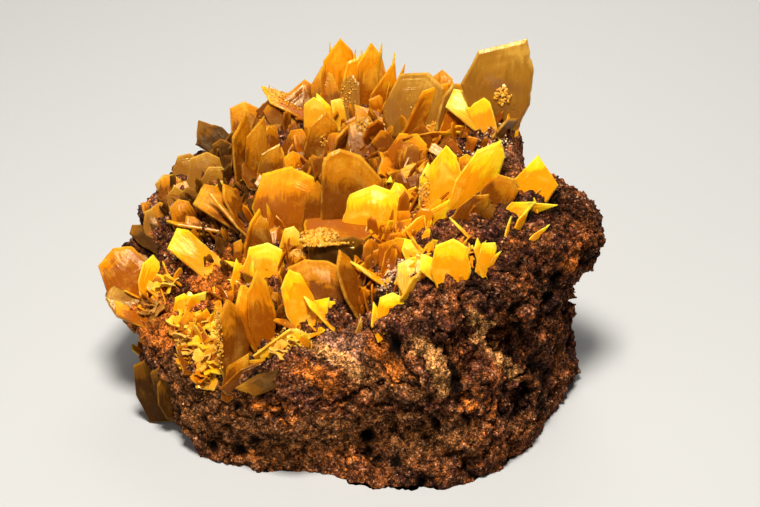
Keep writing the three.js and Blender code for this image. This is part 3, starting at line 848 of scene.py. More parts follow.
@dataclass(frozen=True)
class RockFinish:
    """Granular iron-stained rock: purple-brown, with rust, tan and ochre zones, painted shade in its hollows
    and cracks, and painted light by height and on its grains.
    """

    slot: str = "matrix"
    umber: Colour = (0.066, 0.021, 0.009)
    plum: Colour = (0.13, 0.034, 0.022)
    russet: Colour = (0.26, 0.073, 0.018)
    rust: Colour = (0.72, 0.185, 0.02)
    tan: Colour = (0.82, 0.36, 0.1)
    ochre: Colour = (0.29, 0.105, 0.028)
    pink: Colour = (0.32, 0.14, 0.075)
    # Pale grains, partly painted glints.
    spark: Colour = (0.6, 0.3, 0.16)
    shade: Colour = (0.004, 0.002, 0.0012)
    roughness: Span = (1, 0.5)
    gloss: float = 0.08
    patches: Noise = (9, 4, 0.6)
    russet_cover: Ramp = (0.38, 0.62)
    blotches: Noise = (5, 4, 0.6, 0.5)
    plum_cover: Ramp = (0.5, 0.66, 0, 0.8)
    zone_rag: Noise = (2.2, 5, 0.7)
    zone_change: Ramp = (0.3, 0.7, -0.4, 0.4)
    zone_cover: Ramp = (0.3, 0.85, 0, 0.9)
    smooth_rust: Ramp = (0.3, 1.1)
    smooth_share: float = 0.7
    coarse_width: float = 0.75
    fine_width: float = 0.4
    rust_specks: Ramp = (0.82, 0.98, 0, 0.35)
    ochre_specks: Ramp = (0.14, 0.02, 0, 0.6)
    pale_grain_glint_specks: Ramp = (0.84, 1, 0, 0.5)
    shade_specks: Ramp = (0.3, 0.04, 0, 0.65)
    cracks: Noise = (3.4, 6, 0.7, 0.5)
    crack_shade: Ramp = (0, 0.03, 0.75, 0)
    crack_depth: Ramp = (0, 0.05, -0.6, 0)
    hollow_shade: Ramp = (0.1, 1, 0, 0.94)
    tone_light: Ramp = (0, 1, 0.3, 2.1)
    crumbs: Noise = (1.5, 6, 0.8)
    crumb_span: Ramp = (0.38, 0.62)
    crumb_dark: Ramp = (0, 1, 0.3, 0.75)
    crumb_light: Ramp = (0, 1, 1.9, 1.3)
    # Grain middles lighter and their rims darker: painted light and shade on the grains.
    grain_shading: Ramp = (0.2, 0.75, 1.2, 0.5)
    bumps: Noise = (0.9, 6, 0.75)
    grain_dome: float = 0.55
    relief: float = 0.6

    def material(self) -> Material:
        """Build the material.

        Two noises mix the ground, ragged zones and two sizes of specks come over it, and painted shade
        darkens cracks and hollows. Pale specks are partly painted glints, grain middles are painted
        lighter than their rims, and the tone mark paints light on high places and shade on low ones.
        Smooth rust has fewer specks and less contrast in its crumbs.

        Returns:
            The material, which reads the marks rust, tan, ochre, pink, hollow and tone.
        """
        nodes = Nodes(self.slot)
        russet = nodes.span(nodes.noise(*self.patches), *self.russet_cover)
        colour = nodes.mix(russet, self.umber, self.russet)
        colour = nodes.mix(nodes.span(nodes.noise(*self.blotches), *self.plum_cover), colour, self.plum)
        ragged = nodes.span(nodes.noise(*self.zone_rag), *self.zone_change)
        for zone, tint in (("ochre", self.ochre), ("pink", self.pink),
                           ("rust", self.rust), ("tan", self.tan)):
            amount = nodes.math("ADD", nodes.mark(zone), ragged)
            colour = nodes.mix(nodes.span(amount, *self.zone_cover), colour, tint)
        smooth = nodes.span(nodes.mark("rust"), *self.smooth_rust)
        spotted = nodes.math("SUBTRACT", 1, nodes.math("MULTIPLY", smooth, self.smooth_share))
        coarse, _ = nodes.specks(self.coarse_width)
        fine, away = nodes.specks(self.fine_width)
        # Rust and ochre specks are the rock's own colours; the pale grain specks are partly painted glints,
        # and the shade specks are painted shade between grains.
        for number, cover, tint in (
                (coarse, self.rust_specks, self.rust), (coarse, self.ochre_specks, self.ochre),
                (fine, self.pale_grain_glint_specks, self.spark), (fine, self.shade_specks, self.shade)):
            amount = nodes.math("MULTIPLY", spotted, nodes.span(number, *cover))
            colour = nodes.mix(amount, colour, tint)
        crack = nodes.math("SUBTRACT", nodes.noise(*self.cracks), nodes.NOISE_MIDDLE)
        crack = nodes.math("ABSOLUTE", crack, 0)
        colour = nodes.mix(nodes.span(crack, *self.crack_shade), colour, self.shade)
        colour = nodes.mix(nodes.span(nodes.mark("hollow"), *self.hollow_shade), colour, self.shade)
        dark, light = nodes.span(smooth, *self.crumb_dark), nodes.span(smooth, *self.crumb_light)
        # The tone mark brings painted light and shade by the rock's height.
        tone = nodes.span(nodes.mark("tone"), *self.tone_light)
        crumbs = nodes.span(nodes.noise(*self.crumbs), *self.crumb_span, dark, light)
        tone = nodes.math("MULTIPLY", tone, crumbs)
        tone = nodes.math("MULTIPLY", tone, nodes.span(away, *self.grain_shading))
        bright = nodes.add("ShaderNodeHueSaturation")
        nodes.feed(bright.inputs["Value"], tone)
        nodes.feed(bright.inputs["Color"], colour)
        nodes.feed(nodes.shader.inputs["Base Color"], bright.outputs["Color"])
        nodes.feed(nodes.shader.inputs["Roughness"], nodes.span(fine, 0, 1, *self.roughness))
        nodes.feed(nodes.shader.inputs["Specular IOR Level"], self.gloss)
        dome = nodes.math("MULTIPLY", away, self.grain_dome)
        height = nodes.math("SUBTRACT", nodes.noise(*self.bumps), dome)
        nodes.bump(nodes.math("ADD", height, nodes.span(crack, *self.crack_depth)), self.relief)
        return nodes.material


@dataclass(frozen=True)
class PlainFinish:
    """An even finish for the floor."""

    name: str
    colour: Colour
    roughness: float

    def material(self) -> Material:
        """Build the material.

        Returns:
            The material, in one colour and roughness all over.
        """
        nodes = Nodes(self.name)
        nodes.feed(nodes.shader.inputs["Base Color"], (*self.colour, 1))
        nodes.feed(nodes.shader.inputs["Roughness"], self.roughness)
        return nodes.material


FINISHES = {
    YELLOW: WulfeniteFinish(
        "wulfenite_yellow", (0.94, 0.33, 0.003), (1, 0.6, 0.006), (1, 0.82, 0.1), (1, 0.7, 0.08), 0.14),
    ORANGE: WulfeniteFinish(
        "wulfenite_orange", (0.42, 0.1, 0.002), (0.84, 0.29, 0.003), (1, 0.54, 0.02), (0.9, 0.44, 0.03),
        0.25, gloss=0.2),
    AMBER: WulfeniteFinish(
        "wulfenite_amber", (0.27, 0.066, 0.002), (0.66, 0.23, 0.004), (0.93, 0.47, 0.03),
        (0.62, 0.3, 0.04), 0.35, roughness=0.22, gloss=0.13),
    # Brown is amber darkened as painted shade, for crystals at the back left, on the left flank and in gaps
    # between blades.
    BROWN: WulfeniteFinish(
        "wulfenite_brown", (0.06, 0.018, 0.002), (0.19, 0.065, 0.003), (0.42, 0.18, 0.012),
        (0.25, 0.12, 0.02), 0.12, roughness=0.45, gloss=0.04),
    TAN: WulfeniteFinish(
        "wulfenite_tan", (0.36, 0.14, 0.012), (0.46, 0.2, 0.016), (0.82, 0.47, 0.07),
        (0.3, 0.125, 0.055), 0.25),
    PALE: WulfeniteFinish(
        "wulfenite_pale", (0.7, 0.32, 0.01), (0.92, 0.5, 0.03), (1, 0.68, 0.12), (0.96, 0.7, 0.16), 0.1),
}


@dataclass(frozen=True)
class Lump:
    """A place where the rock swells or sinks: its middle, its reach and the push at its middle."""

    at: Point
    reach: float
    push: Point

    def moved(self, points: Array) -> Array:
        """Give each point its share of the push, which fades as exp(-distance^2 / reach^2)."""
        nearness = np.exp(-np.sum((points - np.array(self.at)) ** 2, axis=1) / self.reach**2)
        return nearness[:, None] * np.array(self.push)


@dataclass(frozen=True)
class Stain:
    """A zone of one colour along a line on the rock, with the reach at which it has faded."""

    zone: str
    start: Point
    end: Point
    reach: float
    strength: float = 1

    def amount(self, points: Array) -> Array:
        """Fade as exp(-distance^2 / reach^2) from the nearest point of the line.

        Args:
            points: Places on the rock.

        Returns:
            How strong the zone is at each of them.
        """
        start, way = np.array(self.start), np.array(self.end) - np.array(self.start)
        along = np.clip((points - start) @ way / max(way @ way, TINY), 0, 1)
        away = np.sum((points - start - along[:, None] * way) ** 2, axis=1)
        return self.strength * np.exp(-away / self.reach**2)


@dataclass(frozen=True)
class Relief:
    """The rock's small forms, and one calm place where they are lower."""

    ridge: Bump = (2.5, 7.5, 4.2)
    crumb: Bump = (1.1, 2.4, 9.1)
    pit: Bump = (1.8, 4.6, 2.3)
    crevice: Bump = (1, 5.2, 6.6)
    grain: Bump = (0.8, 1.25, 7.7)
    fine_grain: Bump = (0.5, 0.75, 1.9)
    ridge_line: float = 0.32
    pit_reach: float = 0.3
    pit_rarity: float = 0.68
    crevice_reach: float = 0.05
    grain_dome: float = 0.5
    fine_warp: float = 0.3
    calm_place: Stain = Stain("calm", (-30, -20, 10), (-12, -30, 6), 10)
    calming: float = 0.45

    def height(self, points: Array) -> tuple[Array, Array]:
        """Add the forms up.

        Ridges are the ridge line less the size of wide noise, pits are where one of the rarer
        scattered seeds is near, crevices are where a noise is near 0, and grains are domes around
        finely scattered seeds. All but the grains are lower in the calm place.

        Args:
            points: Places on the block.

        Returns:
            How far each point moves outwards, and how much of it is a pit.
        """
        calm = 1 - self.calming * np.clip(self.calm_place.amount(points), 0, 1)
        ridge = self.ridge_line - np.abs(fractal(points, *self.ridge[1:]))
        crumb = fractal(points, *self.crumb[1:])
        near, value = cells(points, *self.pit[1:])
        pit = np.exp(-((near / self.pit_reach) ** 2)) * (value > self.pit_rarity)
        grain = self.grain_dome - cells(points, *self.grain[1:])[0]
        fine = self.grain_dome - cells(points + self.fine_warp * crumb[:, None], *self.fine_grain[1:])[0]
        crevice = np.exp(-((fractal(points, *self.crevice[1:]) / self.crevice_reach) ** 2))
        large = self.ridge[0] * ridge + self.crumb[0] * crumb - self.pit[0] * pit - self.crevice[0] * crevice
        return calm * large + self.grain[0] * grain + self.fine_grain[0] * fine, pit


@dataclass
class MatrixRock:
    """The block that carries the crystals: broad faces, lumps and hollows, then small relief."""

    centre: Point = (0, -1, 17)
    reach: Point = (44, 36, 24)
    sharpness: float = 18
    steps: int = 124
    broad_faces: tuple[Point, ...] = (
        (233, 67, 12.8),
        (-15, 58, 34.8),
        (-8, 3, 42.5),
        (-33, 10, 36),
        (-90, 18, 26.5),
        (-66, 26, 29.5),
        (-137, -3, 37),
        (-112, 8, 31),
        (180, -38, 37),
        (160, 2, 44.4),
        (135, 8, 42),
        (112, 8, 37.5),
        (88, 6, 34.5),
        (50, 4, 39),
        (20, -2, 42),
        (0, -90, 20),
    )
    lumps: tuple[Lump, ...] = (
        Lump((43, 1, 29), 10, (8.8, 0, 1)),  # shoulder horn
        Lump((44, -2, 20), 6, (-3.5, 1, 0)),  # undercut below the horn
        Lump((40, 8, 36), 6, (0.5, 0, 2)),  # shoulder crest
        Lump((28, 22, 41), 6, (1, 1, 4)),  # pinnacle
        Lump((34, 17, 37), 4, (-1, -1, -5)),  # notch
        Lump((-47, 2, 20), 8, (-2.5, 1, 2)),  # left wing
        Lump((-30, 20, 26), 13, (-1, 4, 4)),  # back left hump
        Lump((-8, 30, 34), 12, (0, 2, 2)),  # back rim
        Lump((20, -17, 28), 12, (0, -2, 7)),  # front crest
        Lump((27, -19, 18), 5, (-2, 5, -1)),  # cave in the front
        Lump((23, -27, 22), 4, (-1, 3, 0)),  # pit beside the cave
        Lump((15, -28, 20), 6, (0, -3, 1)),  # rib down the front
        Lump((8, -29, 25), 4, (0, 2.5, 0)),  # hollow beside the rib
        Lump((4, -32, 7), 6, (0, 3.5, 0)),  # arch at the foot
        Lump((-8, -32, 1), 8, (0, 4, 0)),  # recess at the foot
        Lump((31, -23, 10), 4, (-2, 2, 0)),  # pit low on the right
        Lump((-12, -28, 15), 8, (0, -1, 1)),  # boss under the left crest
        Lump((-28, -24, 5), 8, (-2, -1.5, 0)),  # left toe
        Lump((-35, -6, 3), 7, (-3, 0, 0)),  # left heel
        Lump((-43, -6, 13), 6, (3, 1, 0)),  # undercut on the left
    )
    pits: tuple[Lump, ...] = (
        Lump((27.1, -19.7, 23.9), 2.6, (-1, 2.8, -0.5)),  # mouth of the cave
        Lump((29.5, -19.5, 21.5), 2, (-1.2, 2.4, 0)),  # cave's lower lip
        Lump((22.5, -24.5, 20.7), 2, (-0.6, 2.2, 0)),  # pit under the tan ridge
        Lump((16.5, -28.5, 26), 2.2, (-0.3, 2.2, -0.5)),  # pit right of the front chips
        Lump((11, -27.5, 27.5), 2.4, (0, 2, -0.8)),  # pit under the crest chips
        Lump((31.2, -20.9, 9.8), 2.2, (-1.2, 1.8, 0)),  # pit low on the right
        Lump((19, -29.5, 21), 2.4, (0.6, 2.2, 0)),  # shadow side of the rib
        Lump((16.2, -30.8, 20.5), 1.8, (-0.4, -1.4, 0.3)),  # rib's crest
        Lump((24.5, -23.5, 25.5), 2, (-0.4, -1.6, 0.8)),  # ridge left of the cave
        Lump((8, -29.6, 8.6), 3, (0, 2.6, 0.6)),  # arch, left part
        Lump((12.5, -30.3, 10), 2.4, (0, 2.2, 0.6)),  # arch, right part
        Lump((5, -30.5, 11.5), 2.6, (0, -1.6, 0)),  # brow over the arch
        Lump((-14, -26.5, 17.5), 2.6, (0, 1.8, -0.6)),  # hollow under the great blade
        Lump((-9, -28, 14), 2.4, (0, 1.2, 0)),  # hollow left of the boss
        Lump((34.9, -12.9, 22), 3.2, (-1.4, 1.2, 0)),  # shaded undercut
        Lump((39.5, -6, 24), 2.6, (-1.2, 0.6, 0.4)),  # under the horn
        Lump((20.5, -27, 15), 1.8, (-0.4, 1.6, 0)),  # small pit
        Lump((-7.5, -30, 5), 2.4, (0, 1.4, 0.4)),  # small pit at the foot
        Lump((30, -14, 30.5), 2.2, (-0.4, 1.2, -0.8)),  # pit on the shoulder
    )
    stains_and_painted_shade: tuple[Stain, ...] = (
        Stain("rust", (-40, -3.4, 19.9), (-34.5, -10.7, 18.3), 4.5, 1.3),
        Stain("rust", (-25.8, -4.5, 24.2), (-22.5, -2, 25), 4.8, 1.8),
        Stain("rust", (-8, -26.5, 21.5), (-4, -28, 19), 2.6, 0.8),
        Stain("rust", (4.5, -24.5, 24.5), (8, -27.9, 22.3), 2.2, 1),
        Stain("rust", (-16, -28.5, 15), (-12, -29, 13), 2.8, 0.9),
        Stain("rust", (-20, -28.5, 3), (2, -31, 4), 2.6, 0.5),
        Stain("rust", (21.5, -28.2, 15.6), (26, -25.5, 12), 3, 0.6),
        Stain("rust", (31, -22, 12.5), (32.5, -20.5, 12.5), 2.6, 0.7),
        Stain("rust", (43, -3, 30), (38, -7, 29.5), 3, 0.8),
        Stain("tan", (11.2, -26.6, 27.6), (15, -29.1, 26.6), 1.7, 1.3),
        Stain("tan", (15, -29.1, 26.6), (16.6, -30.2, 20.6), 1.8, 1.8),
        Stain("tan", (21.5, -23.5, 31), (24, -21.6, 26.5), 1.5, 1.3),
        Stain("tan", (24, -21.6, 26.5), (26.8, -20.7, 20.5), 1.9, 1.8),
        Stain("tan", (26.8, -20.7, 20.5), (30.5, -20.2, 15.5), 1.5, 1.3),
        Stain("tan", (-8, -20.5, 23.2), (-2, -24.5, 22.2), 1.6, 1.1),
        Stain("tan", (-2, -24.5, 22.2), (1.5, -27, 20.5), 1.5, 1.1),
        Stain("tan", (3, -30.8, 12.2), (10.5, -31, 12.4), 1.5, 0.8),
        Stain("pink", (-4.5, -21, 23.2), (1, -23.5, 23.4), 3.2, 1.1),
        Stain("pink", (-36, 15.3, 29), (-31.5, 10.5, 28.3), 4.5, 1.1),
        Stain("pink", (-10, 20.5, 36.5), (-6, 21, 36.5), 3, 0.9),
        Stain("pink", (26, 15, 42), (30, 13, 40), 3, 0.7),
        Stain("ochre", (-30, -20, 10), (-12, -30, 6), 9, 1.1),
        Stain("ochre", (-10, -30, 9), (18, -30, 9), 6.5, 0.9),
        Stain("ochre", (2, -26.5, 22), (12, -29, 20), 5, 0.9),
        Stain("ochre", (20, -29, 6), (32, -22, 6), 4, 0.6),
        # Hollow zones are painted shade: in the cave, the pits and the arch, on the rib's shadow side and
        # over the right side.
        Stain("hollow", (26.5, -20.1, 24.9), (29, -19, 23), 1.7, 1.4),
        Stain("hollow", (22.5, -24.5, 20.7), (22.8, -24.3, 20.4), 1.2, 1.2),
        Stain("hollow", (17.3, -28, 26.5), (18.8, -28.6, 19), 1.4, 1.2),
        Stain("hollow", (31.2, -20.9, 9.8), (31.4, -20.7, 9.6), 1.6, 1.1),
        Stain("hollow", (1.7, -28.6, 8.9), (8.9, -29.9, 8.9), 1.2, 1),
        Stain("hollow", (8.9, -29.9, 8.9), (14.4, -30.4, 10.5), 1, 0.9),
        Stain("hollow", (-17, -25.5, 18.5), (-10, -27, 17), 2, 0.8),
        Stain("hollow", (16.5, -19.5, 31.5), (20.5, -21, 30.5), 1.8, 0.9),
        Stain("hollow", (31, -18, 25), (39, -7, 23), 3, 0.6),
        Stain("hollow", (35, -16, 8), (40, -8, 24), 9, 0.5),
    )
    zones: tuple[str, ...] = ("rust", "tan", "pink", "ochre", "hollow")
    waves: tuple[Span, ...] = ((1.6, 11), (0.9, 5))
    relief: Relief = Relief()
    pit_shade: float = 0.8
    low_shade: float = 0.5
    low_span: Span = (0.2, 1.2)
    middle_tone: float = 0.5
    height_shading: float = 0.35
    surface: Surface = field(init=False)
    normals: Array = field(init=False)
    material: Material = field(init=False)

    def block(self, directions: Array) -> Array:
        """Find the block's surface in each direction from its centre.

        The distance is the power mean of the distances to the broad faces, lumps then push the
        point, and two waves of noise move it in and out.

        Args:
            directions: Unit vectors.

        Returns:
            One point for each direction.
        """
        compass, rise, distance = np.array(self.broad_faces).T
        compass, rise = np.radians(compass), np.radians(rise)
        normal = np.stack([np.cos(compass) * np.cos(rise), np.sin(compass) * np.cos(rise), np.sin(rise)])
        way = directions * np.array(self.reach)
        near = np.maximum(0, way @ normal) / distance
        total = np.sum(near**self.sharpness, axis=1, keepdims=True)
        point = way * total ** (-1 / self.sharpness) + np.array(self.centre)
        outward = way / np.linalg.norm(way, axis=1, keepdims=True)
        rough = sum(height * value_noise(point / width) for height, width in self.waves)
        return point + sum(lump.moved(point) for lump in self.lumps) + outward * rough[:, None]

    def build(self) -> None:
        """Make the rock's mesh, mark its zones, hollows and tone, and dress it."""
        directions, quads = cube_sphere(self.steps)
        base = self.block(directions)
        base += sum(pit.moved(base) for pit in self.pits)
        height, pit = self.relief.height(base)
        points = base + point_normals(base, quads) * height[:, None]
        points[:, 2] = np.maximum(points[:, 2], 0)
        marks = {zone: np.zeros(len(points)) for zone in self.zones}
        for stain in self.stains_and_painted_shade:
            marks[stain.zone] = np.maximum(marks[stain.zone], stain.amount(base))
        # Painted shade in the pits and the low places of the relief, added to the hollow zones.
        low = self.low_shade * smooth_step(-height, *self.low_span)
        marks["hollow"] = np.maximum(marks["hollow"], self.pit_shade * pit) + low
        # High places lighter and low ones darker: painted light on ridges and painted shade in low places.
        marks["tone"] = self.middle_tone + self.height_shading * np.clip(height, -1, 1)
        self.surface = Surface(points, [quads], marks)
        self.normals = point_normals(points, quads)
        self.material = RockFinish().material()
        piece = self.surface.piece("weathered_rock", ROCK_CREASE, self.material)
        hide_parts("matrix_rock")

    def spots(self, centre: Span, reach: float, count: int, rng: Random,
              steep: float = 0.2) -> tuple[Array, Array]:
        """Pick places on the rock around a point of the plan.

        Args:
            centre: The patch's middle in x and y.
            reach: The patch's radius.
            count: How many places are picked.
            rng: The source of the picks.
            steep: The lowest upward part of a place's normal.

        Returns:
            The places and the rock's normals there.
        """
        away = np.hypot(*(self.surface.points[:, :2] - np.array(centre)).T)
        index = np.flatnonzero((away < reach) & (self.normals[:, 2] > steep))
        chosen = rng.choice(index, size=count, replace=len(index) < count)
        return self.surface.points[chosen], self.normals[chosen]


class Seat:
    """Finds where roots meet the solid rock."""

    SKY = 100

    def __init__(self) -> None:
        """Index the rock's faces."""
        graph = bpy.context.evaluated_depsgraph_get()
        self.tree = BVHTree.FromObject(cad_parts["matrix_rock"], graph)

    def root(self, place: tuple[float, ...]) -> Array:
        """Drop a point onto the rock.

        Args:
            place: x and y of a root on top of the rock, or x, y and z of one on a flank.

        Returns:
            The root in millimetres.
        """
        if len(place) == 3:
            return np.array(place, float)
        sky = Vector((place[0] * MM, place[1] * MM, self.SKY * MM))
        hit = self.tree.ray_cast(sky, Vector((0, 0, -1)))[0]
        return np.array(hit) / MM


@dataclass(frozen=True)
class Blade:
    """One blade: where it stands, how it leans, its size, its outline and a colour of its own.

    It goes on below its root by its depth, and the points of its outline are a pace apart. Nicks and
    chips have a share of the way to the middle and a width, and the ripple has a height and a width.
    The growth steps and the bevel are rings, each with a share of the outline's size and a level,
    which is a share of half the thickness.
    """

    root: tuple[float, ...]
    back: float
    right: float
    twist: float
    width: float
    rise: float
    form: Form
    tint: Tint | None = None
    depth: float = 3
    pace: float = 0.5
    fewest_stops: int = 18
    clearance: float = 0.4
    thinnest: float = 0.3
    thickening: float = 0.1
    shift_most: float = 90
    nicks: tuple[Span, ...] = ((0.018, 1.6), (0.006, 0.5))
    chip: Span = (0.035, 2.4)
    chip_opens: Span = (0.5, 0.6)
    growth_steps: int = 3
    step_span: Span = (0.35, 0.88)
    step_width: float = 0.012
    step_fall: float = 0.05
    inner_ring: float = 0.16
    bevel: tuple[Span, ...] = ((0.93, 0.82), (1, 0.3))
    drift: float = 0.18
    bend: float = 0.09
    ripple: Span = (0.05, 2.4)

    @property
    def thickness(self) -> float:
        """Thickness grows with the smaller of width and rise."""
        return self.thinnest + self.thickening * min(self.width, self.rise)

    def outline(self) -> Array:
        """Walk round the outline at an even pace that also meets every corner.

        Returns:
            Points across and along, anticlockwise from the root.
        """
        corners = np.array(self.form.value) * (self.width, self.rise + self.depth) - (0, self.depth)
        closed = np.vstack([corners, corners[:1]])
        walk = np.concatenate([[0], np.cumsum(np.linalg.norm(np.diff(closed, axis=0), axis=1))])
        even = np.linspace(0, walk[-1], max(self.fewest_stops, round(walk[-1] / self.pace)), endpoint=False)
        clear = np.abs(even[:, None] - walk).min(axis=1) > self.clearance * self.pace
        stops = np.sort(np.concatenate([even[clear], walk[:-1]]))
        return np.stack([np.interp(stops, walk, closed[:, axis]) for axis in (0, 1)], axis=1)

    def placed(self, local: Array, seat: Seat) -> Array:
        """Lean points on the upright blade and move them to its root."""
        return local @ turn_matrices(self.back, self.right, self.twist)[0].T + seat.root(self.root)

    def chipped(self, shift: float) -> tuple[Array, Array]:
        """Nick the outline by two waves of noise and chip it where a third is high.

        Args:
            shift: Moves the noise.

        Returns:
            The outline, and the middle towards which it gives way.
        """
        edge = self.outline()
        middle = edge.mean(axis=0)
        probe = np.column_stack([edge, np.zeros(len(edge))])
        share = sum(deep * np.abs(value_noise(probe / wide + shift)) for deep, wide in self.nicks)
        deep, wide = self.chip
        share += deep * smooth_step(value_noise(probe / wide + 2 * shift), *self.chip_opens)
        return edge + (middle - edge) * share[:, None], middle

    def surface(self, seat: Seat, rng: Random) -> Surface:
        """Work the blade out as rings that shrink from its outline to its middle, on both faces.

        A point is the drifting middle plus a ring's share of the way to the outline. The faces come
        down in growth steps and then a bevel, and the whole plate bends with the square of its height
        and ripples slightly.

        Args:
            seat: Finds the root.
            rng: The source of bends, chips and tone.

        Returns:
            The closed blade in its place.
        """
        shift = rng.uniform(0, self.shift_most)
        edge, middle = self.chipped(shift)
        around = len(edge)
        steps = np.sort(rng.uniform(*self.step_span, self.growth_steps))
        rings, levels = [self.inner_ring], [1]
        for number, step in enumerate(steps):
            rings += [step, step + self.step_width]
            levels += [1 - self.step_fall * number, 1 - self.step_fall - self.step_fall * number]
        rings, levels = np.array([*zip(rings, levels), *self.bevel]).T
        drift = rng.uniform(-self.drift, self.drift, 2) * (self.width, self.rise)
        middles = middle + drift * (1 - rings[:, None])
        flat = middles[:, None] + (edge - middle)[None] * rings[:, None, None]
        flat = np.concatenate([flat, flat[::-1]]).reshape(-1, 2)
        across, along = np.concatenate([[middle + drift], flat, [middle + drift]]).T
        side = np.repeat(np.concatenate([levels, -levels[::-1]]), around)
        half = np.concatenate([[1], side, [-1]]) * self.thickness / 2
        bend = rng.uniform(-self.bend, self.bend) * np.sign(along) * along**2 / self.rise
        high, wide = self.ripple
        ripple = high * value_noise(np.column_stack([across / wide, along / wide, 0 * along]) + shift)
        local = np.column_stack([across, half + bend + ripple, along])
        points = self.placed(local, seat)
        ring, last = np.arange(around), len(points) - 1
        near = np.roll(ring, -1)
        back_fan = np.column_stack([np.zeros(around, int), near + 1, ring + 1])
        front_fan = np.column_stack([np.full(around, last), ring + last - around, near + last - around])
        share = np.repeat(np.concatenate([rings, rings[::-1]]), around)
        marks = {"tip": np.clip(along / self.rise, 0, 1), "rim": np.concatenate([[0], share, [0]]),
                 "thin": np.zeros(len(points)), "across": (across + shift) * MM, "along": along * MM,
                 "tone": np.full(len(points), rng.uniform(0, 1))}
        return Surface(points, [ring_quads(2 * len(rings), around) + 1, back_fan, front_fan], marks)


@dataclass
class Clump:
    """Blades that grew together, and the solid that they stand for."""

    node: str
    tint: Tint
    blades: list[Blade]

    def build(self, seat: Seat, finishes: dict[Tint, Material], rng: Random) -> None:
        """Make one piece of the blades of each colour and dress it.

        Args:
            seat: Finds the roots.
            finishes: The crystal materials.
            rng: The source of irregularity.
        """
        for tint in sorted({blade.tint or self.tint for blade in self.blades}, key=lambda each: each.name):
            same = [blade for blade in self.blades if (blade.tint or self.tint) is tint]
            surface = joined([blade.surface(seat, rng) for blade in same])
            name = f"{self.node}_{tint.name.lower()}_crystals"
            piece = surface.piece(name, CRYSTAL_CREASE, finishes[tint])
            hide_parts(self.node)


def plate_template(form: Form, face: float = 0.86) -> Surface:
    """Make a unit plate with bevelled faces, which are full size only in its middle plane.

    Args:
        form: The outline.
        face: Size of the outer faces.

    Returns:
        The plate, one wide, two thick and one long, standing on its root.
    """
    corners = np.array(form.value, float)
    middle = corners.mean(axis=0)
    count = len(corners)
    small = middle + face * (corners - middle)
    flat = np.concatenate([small, corners, small])
    points = np.column_stack([flat[:, 0], np.repeat([1, 0, -1], count), flat[:, 1]])
    cap = np.arange(count)[None]
    return Surface(points, [ring_quads(3, count), cap[:, ::-1], cap + 2 * count])


@dataclass(frozen=True)
class Spray:
    """Many small blades around one place on the rock.

    Slim is a blade's width over its rise. The tip, face_rim and thin fields are for the finish; a tip
    under one keeps the small blades near the deep root colour, as painted shade among the large blades.
    """

    centre: Span
    reach: float
    count: int
    tint: Tint
    rise: Span = (1.5, 4)
    slim: Span = (0.45, 0.9)
    back: float = 40
    right: float = 0
    spread: float = 26
    back_share: float = 0.7
    forms: tuple[Form, ...] = (TABLET, LEAF, SHARD, SQUARE)
    thinnest: float = 0.06
    thickening: float = 0.06
    sunk: float = 1
    # Under one: painted shade, so the small blades stay near the deep root colour.
    tip: float = 0.7
    face_rim: float = 0.3
    thin: float = 0.6

    def surfaces(self, rock: MatrixRock, rng: Random) -> list[Surface]:
        """Place copies of unit plates: scaled, sunk a little, turned and moved to the rock.

        Args:
            rock: Gives the places.
            rng: The source of places, sizes and turns.

        Returns:
            One surface for each form used.
        """
        made = []
        for form in self.forms:
            count = max(1, self.count // len(self.forms))
            template = plate_template(form)
            roots, _ = rock.spots(self.centre, self.reach, count, rng)
            rise = rng.uniform(*self.rise, count)
            width = rise * rng.uniform(*self.slim, count)
            scale = np.column_stack([width, self.thinnest + self.thickening * width, rise + self.sunk])
            turns = turn_matrices(rng.normal(self.back, self.back_share * self.spread, count),
                                  rng.normal(self.right, self.spread, count), rng.uniform(-90, 90, count))
            local = template.points[None] * scale[:, None]
            local[..., 2] -= self.sunk
            points = turned(turns, local) + roots[:, None]
            marks = {"tip": self.tip * np.clip(template.points[:, 2], 0, 1)[None],
                     "rim": (1 - self.face_rim * np.abs(template.points[:, 1]))[None],
                     "thin": np.full((1, 1), self.thin),
                     "across": (local[..., 0] + roots[:, :1]) * MM, "along": local[..., 2] * MM,
                     "tone": rng.uniform(0, 1, (count, 1))}
            made.append(template.copies(points, marks))
        return made


def sheet_template(rows: int, columns: int) -> Surface:
    """Make the faces of a thin closed sheet from two grids and the rim that joins them.

    Args:
        rows: Points along the sheet.
        columns: Points across it.

    Returns:
        A surface whose points run over the front grid and then the back grid, not yet placed.
    """
    front = np.arange(rows * columns).reshape(rows, columns)
    quad = np.stack([front[:-1, :-1], front[:-1, 1:], front[1:, 1:], front[1:, :-1]], axis=2).reshape(-1, 4)
    rim = np.concatenate([front[0, :], front[1:, -1], front[-1, -2::-1], front[-2:0:-1, 0]])
    near = np.roll(rim, -1)
    back = rows * columns
    band = np.column_stack([rim, rim + back, near + back, near])
    return Surface(np.zeros((2 * back, 3)), [quad, quad[:, ::-1] + back, band])


